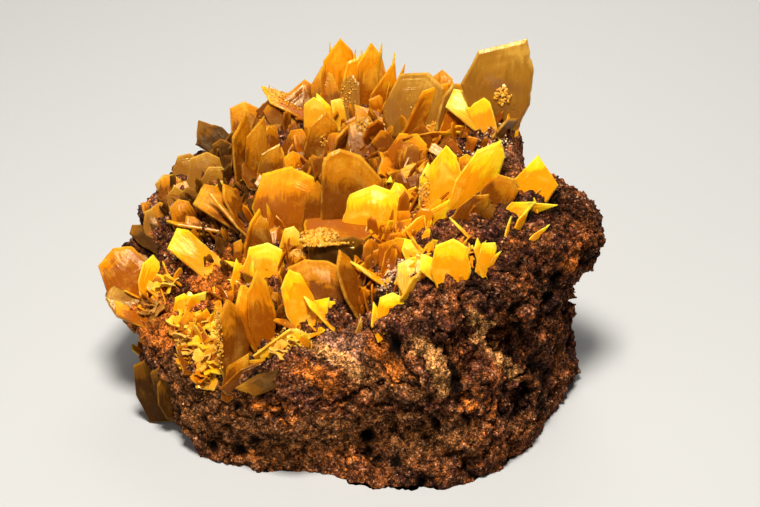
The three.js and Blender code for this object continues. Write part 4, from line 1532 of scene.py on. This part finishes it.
@dataclass(frozen=True)
class Rosette:
    """Thin curled plates around one axis, like the petals of a rose.

    Sizes are shares of the size, curls are the radians of a plate's arc, and leans are the first
    plate's lean and what is added up to the last.
    """

    centre: Span
    count: int
    size: float
    back: float = 40
    right: float = 0
    rows: int = 6
    columns: int = 6
    sizes: Span = (0.6, 1.15)
    curls: Span = (0.25, 1.3)
    waist: tuple[float, float, float] = (0.3, 0.35, 2.4)
    rag: float = 0.12
    rag_from: float = 0.8
    cup: float = 0.12
    sunk: float = 0.25
    thick: Span = (0.05, 0.025)
    leans: Span = (12, 62)
    lean_change: float = 9
    swing: float = 30
    golden_angle: float = 137.5

    def surface(self, seat: Seat, rng: Random) -> Surface:
        """Bend each plate along an arc whose angle grows with the way from its root.

        A plate's half width is its size times a + b sin(c u), with a, b and c from the waist and u the
        way from root to tip. The plates lean out more and more from the axis, and stand around it by
        the golden angle.

        Args:
            seat: Finds the middle.
            rng: The source of sizes, leans and curls.

        Returns:
            The closed plates in their places.
        """
        template = sheet_template(self.rows, self.columns)
        u, v = np.meshgrid(np.linspace(0, 1, self.rows), np.linspace(-1, 1, self.columns), indexing="ij")
        size = self.size * rng.uniform(*self.sizes, self.count)[:, None, None]
        curl = rng.uniform(*self.curls, self.count)[:, None, None]
        angle = curl * u
        ragged = 1 + self.rag * rng.standard_normal((self.count, 1, self.columns)) * (u > self.rag_from)
        narrow, swell, turn = self.waist
        x = v * size * (narrow + swell * np.sin(turn * u))
        y = -size / curl * (1 - np.cos(angle)) - self.cup * size * v**2
        z = size / curl * np.sin(angle) * ragged - self.sunk * size
        grid = np.stack([x, y + 0 * z, z], axis=3).reshape(self.count, -1, 3)
        normal = np.stack([0 * angle, -np.cos(angle), -np.sin(angle)], axis=3).reshape(self.count, -1, 3)
        thick = (self.thick[0] + self.thick[1] * size).reshape(-1, 1, 1)
        points = np.concatenate([grid + thick * normal, grid - thick * normal], axis=1)
        number = np.arange(self.count)
        least, more = self.leans
        lean = least + more * (number + 0.5) / self.count
        lean = lean + rng.uniform(-self.lean_change, self.lean_change, self.count)
        none = np.zeros(self.count)
        about = turn_matrices(none, none, self.golden_angle * number)
        turns = turn_matrices(self.back, self.right, 0) @ about
        turns = turns @ turn_matrices(-lean, none, rng.uniform(-self.swing, self.swing, self.count))
        points = turned(turns, points) + seat.root(self.centre)
        along = np.tile(u.ravel(), 2)[None]
        marks = {"tip": along, "rim": np.maximum(along, np.tile(np.abs(v).ravel(), 2)[None]),
                 "thin": np.ones((1, 1)), "across": (np.tile(grid[..., 0], 2) + number[:, None]) * MM,
                 "along": np.tile(grid[..., 2], 2) * MM, "tone": rng.uniform(0, 1, (self.count, 1))}
        return template.copies(points, marks)


def grain_template() -> Surface:
    """Make the unit of grains and sugar crystals, an icosahedron from the golden ratio.

    Returns:
        The icosahedron, with a radius of one.
    """
    long = (1 + math.sqrt(5)) / 2
    points = np.array([(-1, long, 0), (1, long, 0), (-1, -long, 0), (1, -long, 0),
                       (0, -1, long), (0, 1, long), (0, -1, -long), (0, 1, -long),
                       (long, 0, -1), (long, 0, 1), (-long, 0, -1), (-long, 0, 1)])
    faces = np.array([(0, 11, 5), (0, 5, 1), (0, 1, 7), (0, 7, 10), (0, 10, 11), (1, 5, 9), (5, 11, 4),
                      (11, 10, 2), (10, 7, 6), (7, 1, 8), (3, 9, 4), (3, 4, 2), (3, 2, 6), (3, 6, 8),
                      (3, 8, 9), (4, 9, 5), (2, 4, 11), (6, 2, 10), (8, 6, 7), (9, 8, 1)])
    return Surface(points / math.hypot(1, long), [faces])


def grains(places: Array, sizes: Array, rng: Random, marks: dict[str, Array],
           corner: Span = (0.7, 1.2), axis: Span = (0.6, 1.2)) -> Surface:
    """Put an irregular grain at each place.

    Args:
        places: Middles of the grains.
        sizes: Radii of the grains.
        rng: The source of their shapes and turns.
        marks: One number for each grain, by mark name.
        corner: Least and most reach of a corner.
        axis: Least and most stretch along an axis.

    Returns:
        One surface with all the grains.
    """
    template = grain_template()
    count = len(places)
    turns = turn_matrices(*rng.uniform(0, 360, (3, count)))
    uneven = rng.uniform(*corner, (count, len(template.points), 1)) * rng.uniform(*axis, (count, 1, 3))
    points = turned(turns, template.points[None] * uneven)
    points = points * sizes[:, None, None] + places[:, None]
    return template.copies(points, {name: value[:, None] for name, value in marks.items()})


def sugar_crystals(places: Array, lift: Array, sizes: Array, rng: Random,
                   rim: float = 0.6, tips: Span = (0.3, 1)) -> Surface:
    """Make tiny crystals, with marks for the crystal finish.

    Args:
        places: Where they stand.
        lift: How far the middle of each is from its place.
        sizes: Their radii.
        rng: The source of their marks and shapes.
        rim: Their rim mark.
        tips: Least and most of their tip marks.

    Returns:
        One surface with all of them.
    """
    count = len(places)
    marks = {"tip": rng.uniform(*tips, count), "rim": np.full(count, rim), "thin": np.ones(count),
             "across": places[:, 0] * MM, "along": places[:, 2] * MM, "tone": rng.uniform(0, 1, count)}
    return grains(places + lift, sizes, rng, marks)


@dataclass
class RockGrains:
    """Grains that stud the rock above its lowest rim, so that its outline is rough."""

    count: int = 9000
    size: Span = (0.13, 0.4)
    power: float = 2.4
    lowest: float = 1.2
    tones: Span = (0.5, 1.3)
    lift: float = 0.1

    def build(self, rock: MatrixRock, rng: Random) -> None:
        """Scatter grains over the rock, more of them small than large.

        Args:
            rock: Gives the places, their zones and the finish.
            rng: The source of the picks.
        """
        points, normals = rock.surface.points, rock.normals
        index = rng.choice(np.flatnonzero(points[:, 2] > self.lowest), self.count, replace=False)
        low, high = self.size
        sizes = low + (high - low) * rng.uniform(0, 1, self.count) ** self.power
        # Grains take the rock's zones, with the painted shade of the hollow mark, and its tone, with its
        # painted light and shade by height, times a random tone.
        marks = {zone: rock.surface.marks[zone][index] for zone in rock.zones}
        marks["tone"] = rock.surface.marks["tone"][index] * rng.uniform(*self.tones, self.count)
        surface = grains(points[index] + self.lift * sizes[:, None] * normals[index], sizes, rng, marks)
        piece = surface.piece("rock_grains", GRAIN_CREASE, rock.material)


@dataclass(frozen=True)
class Sugar:
    """Tiny crystals that dust one place on the rock."""

    centre: Span
    reach: float
    count: int
    size: Span = (0.12, 0.36)
    lifts: Span = (0.2, 1.6)

    def surface(self, rock: MatrixRock, rng: Random) -> Surface:
        """Stand the tiny crystals on the rock.

        Args:
            rock: Gives the places.
            rng: The source of places and sizes.

        Returns:
            The crystals of this place.
        """
        places, normals = rock.spots(self.centre, self.reach, self.count, rng)
        sizes = rng.uniform(*self.size, self.count)
        lift = sizes[:, None] * rng.uniform(*self.lifts, (self.count, 1))
        return sugar_crystals(places, lift * normals, sizes, rng)


@dataclass(frozen=True)
class FaceSugar:
    """Tiny crystals on one face of a clump's blade, the front one unless side is 1.

    Across and along are the patch's spans, in widths and rises of the blade.
    """

    clump: str
    blade: int
    across: Span
    along: Span
    count: int
    size: Span = (0.12, 0.34)
    side: int = -1
    reach: float = 0.55
    power: float = 0.7
    lift: float = 0.3

    def surface(self, seat: Seat, rng: Random) -> Surface:
        """Stand the tiny crystals on the blade's face, in an oval that thins out from its middle.

        Args:
            seat: Finds the blade's root.
            rng: The source of places and sizes.

        Returns:
            The crystals of this face.
        """
        blade = Blade(*CLUMPS[self.clump][1][self.blade])
        angle = rng.uniform(0, 2 * math.pi, self.count)
        away = self.reach * rng.uniform(0, 1, self.count) ** self.power
        across = (np.mean(self.across) + away * np.ptp(self.across) * np.cos(angle)) * blade.width
        along = (np.mean(self.along) + away * np.ptp(self.along) * np.sin(angle)) * blade.rise
        sizes = rng.uniform(*self.size, self.count)
        local = np.column_stack([across, self.side * (blade.thickness / 2 + self.lift * sizes), along])
        return sugar_crystals(blade.placed(local, seat), np.zeros(3), sizes, rng)


# Small blades by place: the middle and radius of each patch, how many, and their colour.
SPRAYS = (
    Spray((-30, 13), 7, 30, BROWN, (1.2, 3.2), right=-10),
    Spray((-24, 19), 6, 25, BROWN, (1.5, 4.5), back=35, right=-5),
    Spray((-17, 24), 7, 22, AMBER, (2.2, 5.8), (0.55, 1), back=38, right=-10),
    Spray((-9, 24), 7, 22, ORANGE, (2.2, 5.4), (0.55, 1), back=38, right=-8),
    Spray((0, 24), 7, 24, ORANGE, (2.2, 5.2), (0.55, 1), back=36),
    Spray((9, 19), 7, 22, AMBER, (2.2, 5.2), (0.55, 1)),
    Spray((17, 16), 6, 25, ORANGE, (1.2, 3.6), right=10),
    Spray((8, 12), 6, 22, AMBER, (2.2, 5.6), (0.55, 1), back=36),
    Spray((-3, 14), 7, 24, AMBER, (2.2, 5.8), (0.55, 1), back=36, right=5),
    Spray((-14, 13), 7, 24, AMBER, (2.2, 5.8), (0.55, 1), back=38, right=-8),
    Spray((-22, 10), 6, 25, BROWN, (1.4, 4.2), right=-20),
    Spray((-24, 3), 6, 20, BROWN, (1.2, 3.8), back=42, right=-20),
    Spray((-16, 1), 6, 30, ORANGE, (1.4, 4.4), back=38),
    Spray((-8, -2), 5, 25, ORANGE, (1.2, 3.8), back=38),
    Spray((3, -3), 6, 30, YELLOW, (1.2, 3.6)),
    Spray((12, -2), 6, 30, YELLOW, (1.2, 3.6), back=42, right=15),
    Spray((21, 5), 6, 25, ORANGE, (1.2, 3.6), right=15),
    Spray((15, 8), 5, 20, AMBER, (1.2, 3.8), back=38),
    Spray((-15, -10), 6, 30, AMBER, (1.4, 4.4), back=36, right=-5),
    Spray((-21, -11), 6, 30, ORANGE, (1.2, 4), back=38, right=-10),
    Spray((-23, -18), 5, 25, ORANGE, (1, 3.2), right=-10),
    Spray((-9, -18), 4, 20, YELLOW, (1, 3), right=10),
    Spray((5, -12), 6, 30, ORANGE, (1.2, 3.8), right=10),
    Spray((10, -14), 4, 20, PALE, (0.9, 2.6), right=10),
    Spray((14, -12), 5, 20, YELLOW, (1, 3.2), right=10),
    Spray((18, -16), 4, 14, YELLOW, (0.9, 2.6), right=10),
    Spray((23, -12), 5, 8, YELLOW, (0.9, 2.8), (0.2, 0.5), 42, 20),
    Spray((-36, -3), 5, 20, YELLOW, (1, 3.4), right=-25),
    Spray((-29, -9), 5, 18, YELLOW, (0.8, 2.6), right=-10),
    Spray((-27, -16), 5, 30, PALE, (0.8, 2.6), right=-10),
    Spray((25, 17), 5, 15, AMBER, (1, 3), back=36, right=10),
    Spray((33, 5), 5, 10, YELLOW, (0.9, 2.8), right=25),
    Spray((8, 0), 5, 28, ORANGE, (2, 4.8), (0.5, 1), right=10),
    Spray((5, -6), 5, 24, ORANGE, (1.8, 4.4), (0.5, 1), right=10),
    Spray((13, 6), 4, 30, ORANGE, (1.4, 3.8), right=20),
    Spray((-26, 10), 6, 30, AMBER, (1.2, 3.4), back=42, right=-30),
    Spray((-40, -3), 4, 14, ORANGE, (1.6, 3.2), (0.7, 1), 44, -20, 18),
)

ROSETTES = (
    (YELLOW, Rosette((-31, -9.6), 12, 2.9, -8, -10)),
    (YELLOW, Rosette((-28.4, -11.2), 12, 3.1, -6, 5)),
    (PALE, Rosette((-30.6, -13.4), 12, 2.9, -1, -15)),
    (YELLOW, Rosette((-27.2, -15.2), 12, 3.1, -4, 0)),
    (PALE, Rosette((-29.4, -16.6), 10, 2.9, 4, -15)),
    (PALE, Rosette((-26.2, -18.8), 12, 3.1, 2, -5)),
    (YELLOW, Rosette((-24.4, -21.2), 10, 2.9, 4, 5)),
    (YELLOW, Rosette((-24.6, -13.2), 10, 2.7, -8, 10)),
    (TAN, Rosette((-37.5, -5.6), 10, 3.1, -1, -30)),
    (ORANGE, Rosette((8.4, 13.4), 9, 4.5, -4, 10)),
    (ORANGE, Rosette((-26.8, -22.4), 11, 2.7, 0, -5)),
    (ORANGE, Rosette((-30.2, -18.4), 11, 2.5, 0, -15)),
    (AMBER, Rosette((-32.4, -11.8), 10, 2.7, -4, -15)),
    (YELLOW, Rosette((-34.8, -2), 9, 2.9, -6, -15)),
    (PALE, Rosette((-12.6, -21.4), 10, 2.5, -1, 15)),
    (YELLOW, Rosette((-9.6, -19.6), 10, 2.5, -4, 20)),
    (YELLOW, Rosette((21.8, -13), 9, 2.7, -8, 25)),
)

SUGARS = (
    Sugar((-5, 2), 2.6, 120),
    Sugar((-9, 20.5), 3, 120),
    Sugar((-12, -19.5), 3, 120),
    Sugar((-26, -20), 3.5, 120),
)

# White druse on bare rock.
DRUSE = (
    Sugar((7.5, -10.5), 3.2, 420, (0.1, 0.3)),
    Sugar((11.5, -12.5), 3, 340, (0.1, 0.3)),
    Sugar((27, 15), 3.6, 300, (0.08, 0.24)),
    Sugar((21, 12), 4, 200, (0.08, 0.24)),
    Sugar((-8, 17.5), 3, 120, (0.1, 0.34)),
    Sugar((-31, 5), 5, 120, (0.1, 0.26)),
)
DRUSE_FINISH = WulfeniteFinish(
    "wulfenite_pale", (0.46, 0.24, 0.1), (0.76, 0.48, 0.26), (0.95, 0.74, 0.5), (0.86, 0.62, 0.4), 0.1,
    roughness=0.4, gloss=0.12, petal=(1, 1, 1))

FACE_SUGARS = (
    FaceSugar("narrow_uprights", 1, (-0.12, 0.12), (0.3, 0.95), 40, (0.08, 0.2)),
    FaceSugar("centre_plates", 0, (-0.16, 0.06), (0.6, 0.8), 26, (0.08, 0.22)),
    FaceSugar("bright_group", 0, (-0.5, 0), (0.15, 0.75), 110, (0.08, 0.26)),
    FaceSugar("back_plates", 0, (-0.3, 0.2), (0.35, 0.7), 24, (0.08, 0.24)),
    FaceSugar("tall_blade", 0, (0, 0.22), (0.22, 0.42), 70, (0.18, 0.46)),
    FaceSugar("left_great_blade", 0, (-0.5, -0.34), (0.1, 0.95), 140, (0.1, 0.26)),
    FaceSugar("back_peak", 3, (-0.35, 0.35), (0.3, 0.9), 60, (0.1, 0.24)),
    FaceSugar("speckled_blade", 0, (-0.3, 0.3), (0.1, 0.9), 70, (0.1, 0.26)),
    FaceSugar("amber_upright", 0, (-0.1, 0.2), (0.3, 0.5), 30, (0.12, 0.3)),
    FaceSugar("back_plates", 4, (-0.3, 0.3), (0.3, 0.9), 90),
    FaceSugar("back_plates", 6, (-0.2, 0.35), (0.5, 0.95), 70),
    FaceSugar("sparkling_blade", 0, (-0.35, 0.35), (0.2, 0.9), 150, (0.14, 0.4)),
    FaceSugar("centre_plates", 2, (-0.5, 0), (0.2, 0.9), 420, (0.1, 0.34), 1),
    FaceSugar("centre_plates", 2, (-0.46, 0.16), (0.86, 1.02), 160, (0.1, 0.36), 1),
    FaceSugar("centre_plates", 2, (-0.46, -0.2), (0.5, 0.9), 60, (0.3, 0.6), 1),
)

# Medium blades between the clumps, in the same order of values as the clumps' own.
LOOSE_BLADES = {
    AMBER: [
        ((-18.5, 3.5), 45, -46, 70, 4, 12.5, SPEAR),
        ((-21.5, -1.5), 35, 2, 0, 1.8, 5, SQUARE),
        ((-17, 0), 30, -2, 10, 4.6, 8, LEAF),
        ((0, 21.5), 40, 0, -10, 6, 5.2, TABLET),
        ((-12, 28), 62, -30, 0, 8, 5.5, TABLET),
        ((-15.5, 22), 35, -10, 30, 4.6, 6.5, LEAF),
        ((-12, 21.5), 38, 16, -20, 5, 6, TABLET),
        ((-15, 18), 34, 12, -40, 4.4, 5.4, LEAF),
        ((-22.5, 20.5), 34, 8, 40, 3.6, 6, SHARD),
        ((26, 1), 40, 34, 12, 6.6, 6.4, TABLET),
        ((21, -1), 38, 44, 20, 5, 6.4, LEAF),
        ((-37.4, 14.4, 27), 48, -58, 24, 4.2, 4.6, LEAF),
        ((-40, 4.2, 22.4), 45, -60, 20, 4.4, 5.2, LEAF),
        ((-35.2, 17), 40, -6, 8, 5.2, 4.4, TABLET),
        ((-36.2, 11.4, 26.4), 38, -18, -8, 5.2, 5, TABLET),
        ((-31.6, 9.8), 36, -26, 12, 5.4, 5.6, TABLET),
        ((-28.6, 6.4), 38, -34, 22, 4.8, 5.8, LEAF),
    ],
    ORANGE: [
        ((-14.5, 1.5), 50, -10, 10, 6.6, 4, TABLET),
        ((-12.5, 4.5), 45, -50, 20, 4, 7.5, SHARD),
        ((9.5, 14), 40, 20, -15, 8, 7, TABLET),
        ((12.5, 17.5, 42.5), 45, 80, 55, 3, 10, SPEAR),
        ((16, 18), 40, 60, 60, 3.4, 8, SHARD),
        ((-10.5, 16.5), 40, -20, 30, 5, 5, TABLET),
        ((-9.6, -16.2), 38, -76, 40, 2.4, 6.5, SPEAR),
        ((22, 9), 45, -10, 20, 4, 4, TABLET),
        ((-3.6, 30.6), 30, -4, 34, 2.6, 15, SPEAR),
        ((-1, 30.6), 28, 4, 50, 2.4, 13.4, SPEAR),
        ((2.4, 30.4), 26, -5, 60, 2.4, 13, SPEAR),
        ((4.6, 30.6), 24, 4, 66, 2.2, 14.8, SPEAR),
        ((6.6, 30), 26, 9, 56, 2.2, 11.8, SPEAR),
        ((7.4, 29.6), 30, 17, 30, 2.6, 9.2, SPEAR),
        ((-42.6, -2.8, 19), 45, -10, 12, 4.6, 4.2, TABLET),
        ((7.6, -7.4), 44, 24, 24, 4.4, 5.2, TABLET),
    ],
    YELLOW: [
        ((-20, -2.5), 35, -70, 30, 2.4, 4.4, SPEAR),
        ((-19.5, -5), 35, -85, 30, 2.2, 4, SPEAR),
        ((12, 11, 39.5), 35, -112, 10, 3.4, 6, LEAF),
        ((-4, -16.6), 38, -42, 68, 3, 7, SHARD),
        ((-5, -15.5), 40, 30, 10, 3.2, 3.6, TABLET),
        ((21.5, -6.5), 45, -46, 60, 1.6, 5, SPEAR),
        ((28.5, -7), 40, 10, 50, 1.2, 3.4, SPEAR),
        ((23.6, -15.6), 38, -12, 40, 2.4, 4.6, SHARD),
        ((24.8, -15.8), 36, 40, 20, 2, 3.4, SPEAR),
        ((10.5, -13), 45, 30, 20, 4, 4.4, SHARD),
        ((13.5, -12.6), 50, 60, 20, 3.6, 6, SPEAR),
        ((5.2, -11), 38, -56, 66, 2.6, 6.6, SPEAR),
        ((12, -9.2), 50, -30, 16, 4.6, 4.4, LEAF),
        ((30.8, -4.6), 46, 30, 50, 2.2, 4.2, DIAMOND),
        ((33.6, -7), 50, 44, 40, 1.8, 4, SPEAR),
    ],
    BROWN: [
        ((-37.5, 12), 50, -40, 20, 3.6, 3, TABLET),
        ((-33.5, 12), 50, 10, 20, 4, 3.4, LEAF),
        ((-31, 14), 44, -24, 10, 4.4, 3.6, TABLET),
        ((-25, 22), 38, -14, 20, 4.4, 5, TABLET),
        ((-27.5, 21.5), 40, 10, -30, 4, 4.4, LEAF),
        ((-38.8, 9, 24.6), 45, -54, 30, 4.2, 5, TABLET),
        ((-36.6, -15.4, 3.4), 14, -12, -18, 7.6, 10.6, TABLET),
        ((-2.4, -4.6), 20, -6, 4, 11, 5.6, SQUARE),
        ((-12.5, -26.5, 19.5), 40, -108, 8, 3.6, 8.6, SHARD),
    ],
    TAN: [
        ((1.5, -20.8), 40, 6, 30, 2, 3.6, SPEAR),
        ((-34.4, 18.4, 29.6), 60, -40, 10, 6, 5, TABLET),
        ((-41.4, -5.6, 17.6), 50, -30, -10, 4.2, 3.8, TABLET),
        ((-43.4, -1.4, 18.8), 55, -58, 10, 4.4, 4, TABLET),
        ((-32.6, 21.4), 42, 4, 6, 5.4, 4, TABLET),
        ((-38, 11.2), 42, -8, 10, 5, 4.2, TABLET),
        ((-33.8, 14.4), 40, -10, 12, 4.6, 4.2, LEAF),
    ],
    PALE: [
        ((-7, 27), 36, -10, 0, 5, 6.5, TABLET),
        ((-24.5, 14.2), 40, -20, 20, 3.6, 3.4, TABLET),
        ((-26.5, 13.4), 44, 20, -30, 3.4, 3, LEAF),
        ((-13.5, -21.5), 50, 70, 20, 1.2, 6, SPEAR),
        ((-16, -22.4), 60, 84, 30, 1, 5.6, SPEAR),
        ((-12.4, -20.4), 45, 40, 20, 1.3, 4.6, SQUARE),
    ],
}


@dataclass
class SmallCrystals:
    """Everything that grows between the large blades, in one piece for each colour."""

    sprays: tuple[Spray, ...] = SPRAYS
    rosettes: tuple[tuple[Tint, Rosette], ...] = ROSETTES
    sugars: tuple[Sugar, ...] = SUGARS
    face_sugars: tuple[FaceSugar, ...] = FACE_SUGARS
    druse: tuple[Sugar, ...] = DRUSE
    druse_finish: WulfeniteFinish = DRUSE_FINISH

    def build(self, rock: MatrixRock, seat: Seat, finishes: dict[Tint, Material],
              rng: Random) -> None:
        """Gather the small crystals of each colour and make them pieces.

        Args:
            rock: Gives places on the rock.
            seat: Finds roots.
            finishes: The crystal materials.
            rng: The source of all picks.
        """
        by_tint: dict[Tint, list[Surface]] = {tint: [] for tint in Tint}
        for spray in self.sprays:
            by_tint[spray.tint] += spray.surfaces(rock, rng)
        for tint, rosette in self.rosettes:
            by_tint[tint].append(rosette.surface(seat, rng))
        for tint, rows in LOOSE_BLADES.items():
            by_tint[tint] += [Blade(*row).surface(seat, rng) for row in rows]
        for sugar in self.sugars:
            by_tint[PALE].append(sugar.surface(rock, rng))
        for sugar in self.face_sugars:
            by_tint[PALE].append(sugar.surface(seat, rng))
        for tint, surfaces in by_tint.items():
            name = f"small_{tint.name.lower()}_crystals"
            piece = joined(surfaces).piece(name, CRYSTAL_CREASE, finishes[tint])
        druse = joined([sugar.surface(rock, rng) for sugar in self.druse])
        piece = druse.piece("white_druse", CRYSTAL_CREASE, self.druse_finish.material())


@dataclass(frozen=True)
class SoftLight:
    """A square soft light, its place and side in millimetres and its power in watts."""

    name: str
    place: Point
    side: float
    power: float
    colour: Colour

    def hang(self, target: Point) -> None:
        """Hang the light so that it faces the target.

        Args:
            target: Where it looks, in millimetres.
        """
        data = bpy.data.lights.new(self.name, "AREA")
        data.shape, data.size, data.energy, data.color = "SQUARE", self.side * MM, self.power, self.colour
        light = bpy.data.objects.new(self.name, data)
        light.location = Vector(self.place) * MM
        light.rotation_euler = (Vector(target) * MM - light.location).to_track_quat("-Z", "Y").to_euler()
        bpy.context.scene.collection.objects.link(light)


@dataclass
class Studio:
    """The pale floor, the soft lights, the sky and the camera."""

    target: Point = (5.3, 0, 28.2)
    distance: float = 397
    elevation: float = 35
    lens: float = 100
    sensor: float = 36
    clip: Span = (0.01, 20)
    floor: PlainFinish = PlainFinish("pale_floor", (0.46, 0.46, 0.45), 0.6)
    floor_reach: float = 3000
    floor_crease: float = 30
    sky: Colour = (0.9, 0.94, 1)
    sky_strength: float = 0.1
    lights: tuple[SoftLight, ...] = (
        SoftLight("key", (-10, -80, 470), 120, 3.7, (1, 0.96, 0.9)),
        SoftLight("fill", (-380, -340, 230), 420, 0.62, (1, 0.97, 0.94)),
        SoftLight("rim", (60, 420, 320), 300, 0.8, (1, 0.97, 0.92)),
    )

    def add_floor(self) -> None:
        """Lay the floor, a square that reaches far past the view."""
        points = np.array([(-1, -1, 0), (1, -1, 0), (1, 1, 0), (-1, 1, 0)]) * self.floor_reach
        square = Surface(points, [np.arange(len(points))[None]])
        piece = square.piece("floor", self.floor_crease, self.floor.material())

    def add_camera(self) -> None:
        """Place the camera on the circle in front, looking along +Y and down."""
        rise = math.radians(self.elevation)
        away = Vector((0, -math.cos(rise), math.sin(rise))) * self.distance
        data = bpy.data.cameras.new("camera")
        data.lens, data.sensor_width = self.lens, self.sensor
        data.clip_start, data.clip_end = self.clip
        camera = bpy.data.objects.new("camera", data)
        camera.location = (Vector(self.target) + away) * MM
        camera.rotation_euler = (-away).to_track_quat("-Z", "Y").to_euler()
        bpy.context.scene.collection.objects.link(camera)
        bpy.context.scene.camera = camera

    def add_sky(self) -> None:
        """Light the whole stage faintly from all sides."""
        world = bpy.data.worlds.new("studio")
        world.use_nodes = True
        inputs = world.node_tree.nodes["Background"].inputs
        inputs["Color"].default_value = (*self.sky, 1)
        inputs["Strength"].default_value = self.sky_strength
        bpy.context.scene.world = world

    def build(self) -> None:
        """Set up the whole stage."""
        self.add_floor()
        self.add_camera()
        for light in self.lights:
            light.hang(self.target)
        self.add_sky()
        bpy.context.scene.view_settings.view_transform = "Standard"


def main() -> None:
    """Build the specimen and its stage, in order."""
    logging.basicConfig(level=logging.INFO, format="%(message)s")
    rng = np.random.default_rng(SEED)
    seat = Seat()
    rock = MatrixRock()
    rock.build()
    RockGrains().build(rock, rng)
    finishes = {tint: finish.material() for tint, finish in FINISHES.items()}
    for node, (tint, rows) in CLUMPS.items():
        Clump(node, tint, [Blade(*row) for row in rows]).build(seat, finishes, rng)
    SmallCrystals().build(rock, seat, finishes, rng)
    Studio().build()


if __name__ == "__main__":
    main()
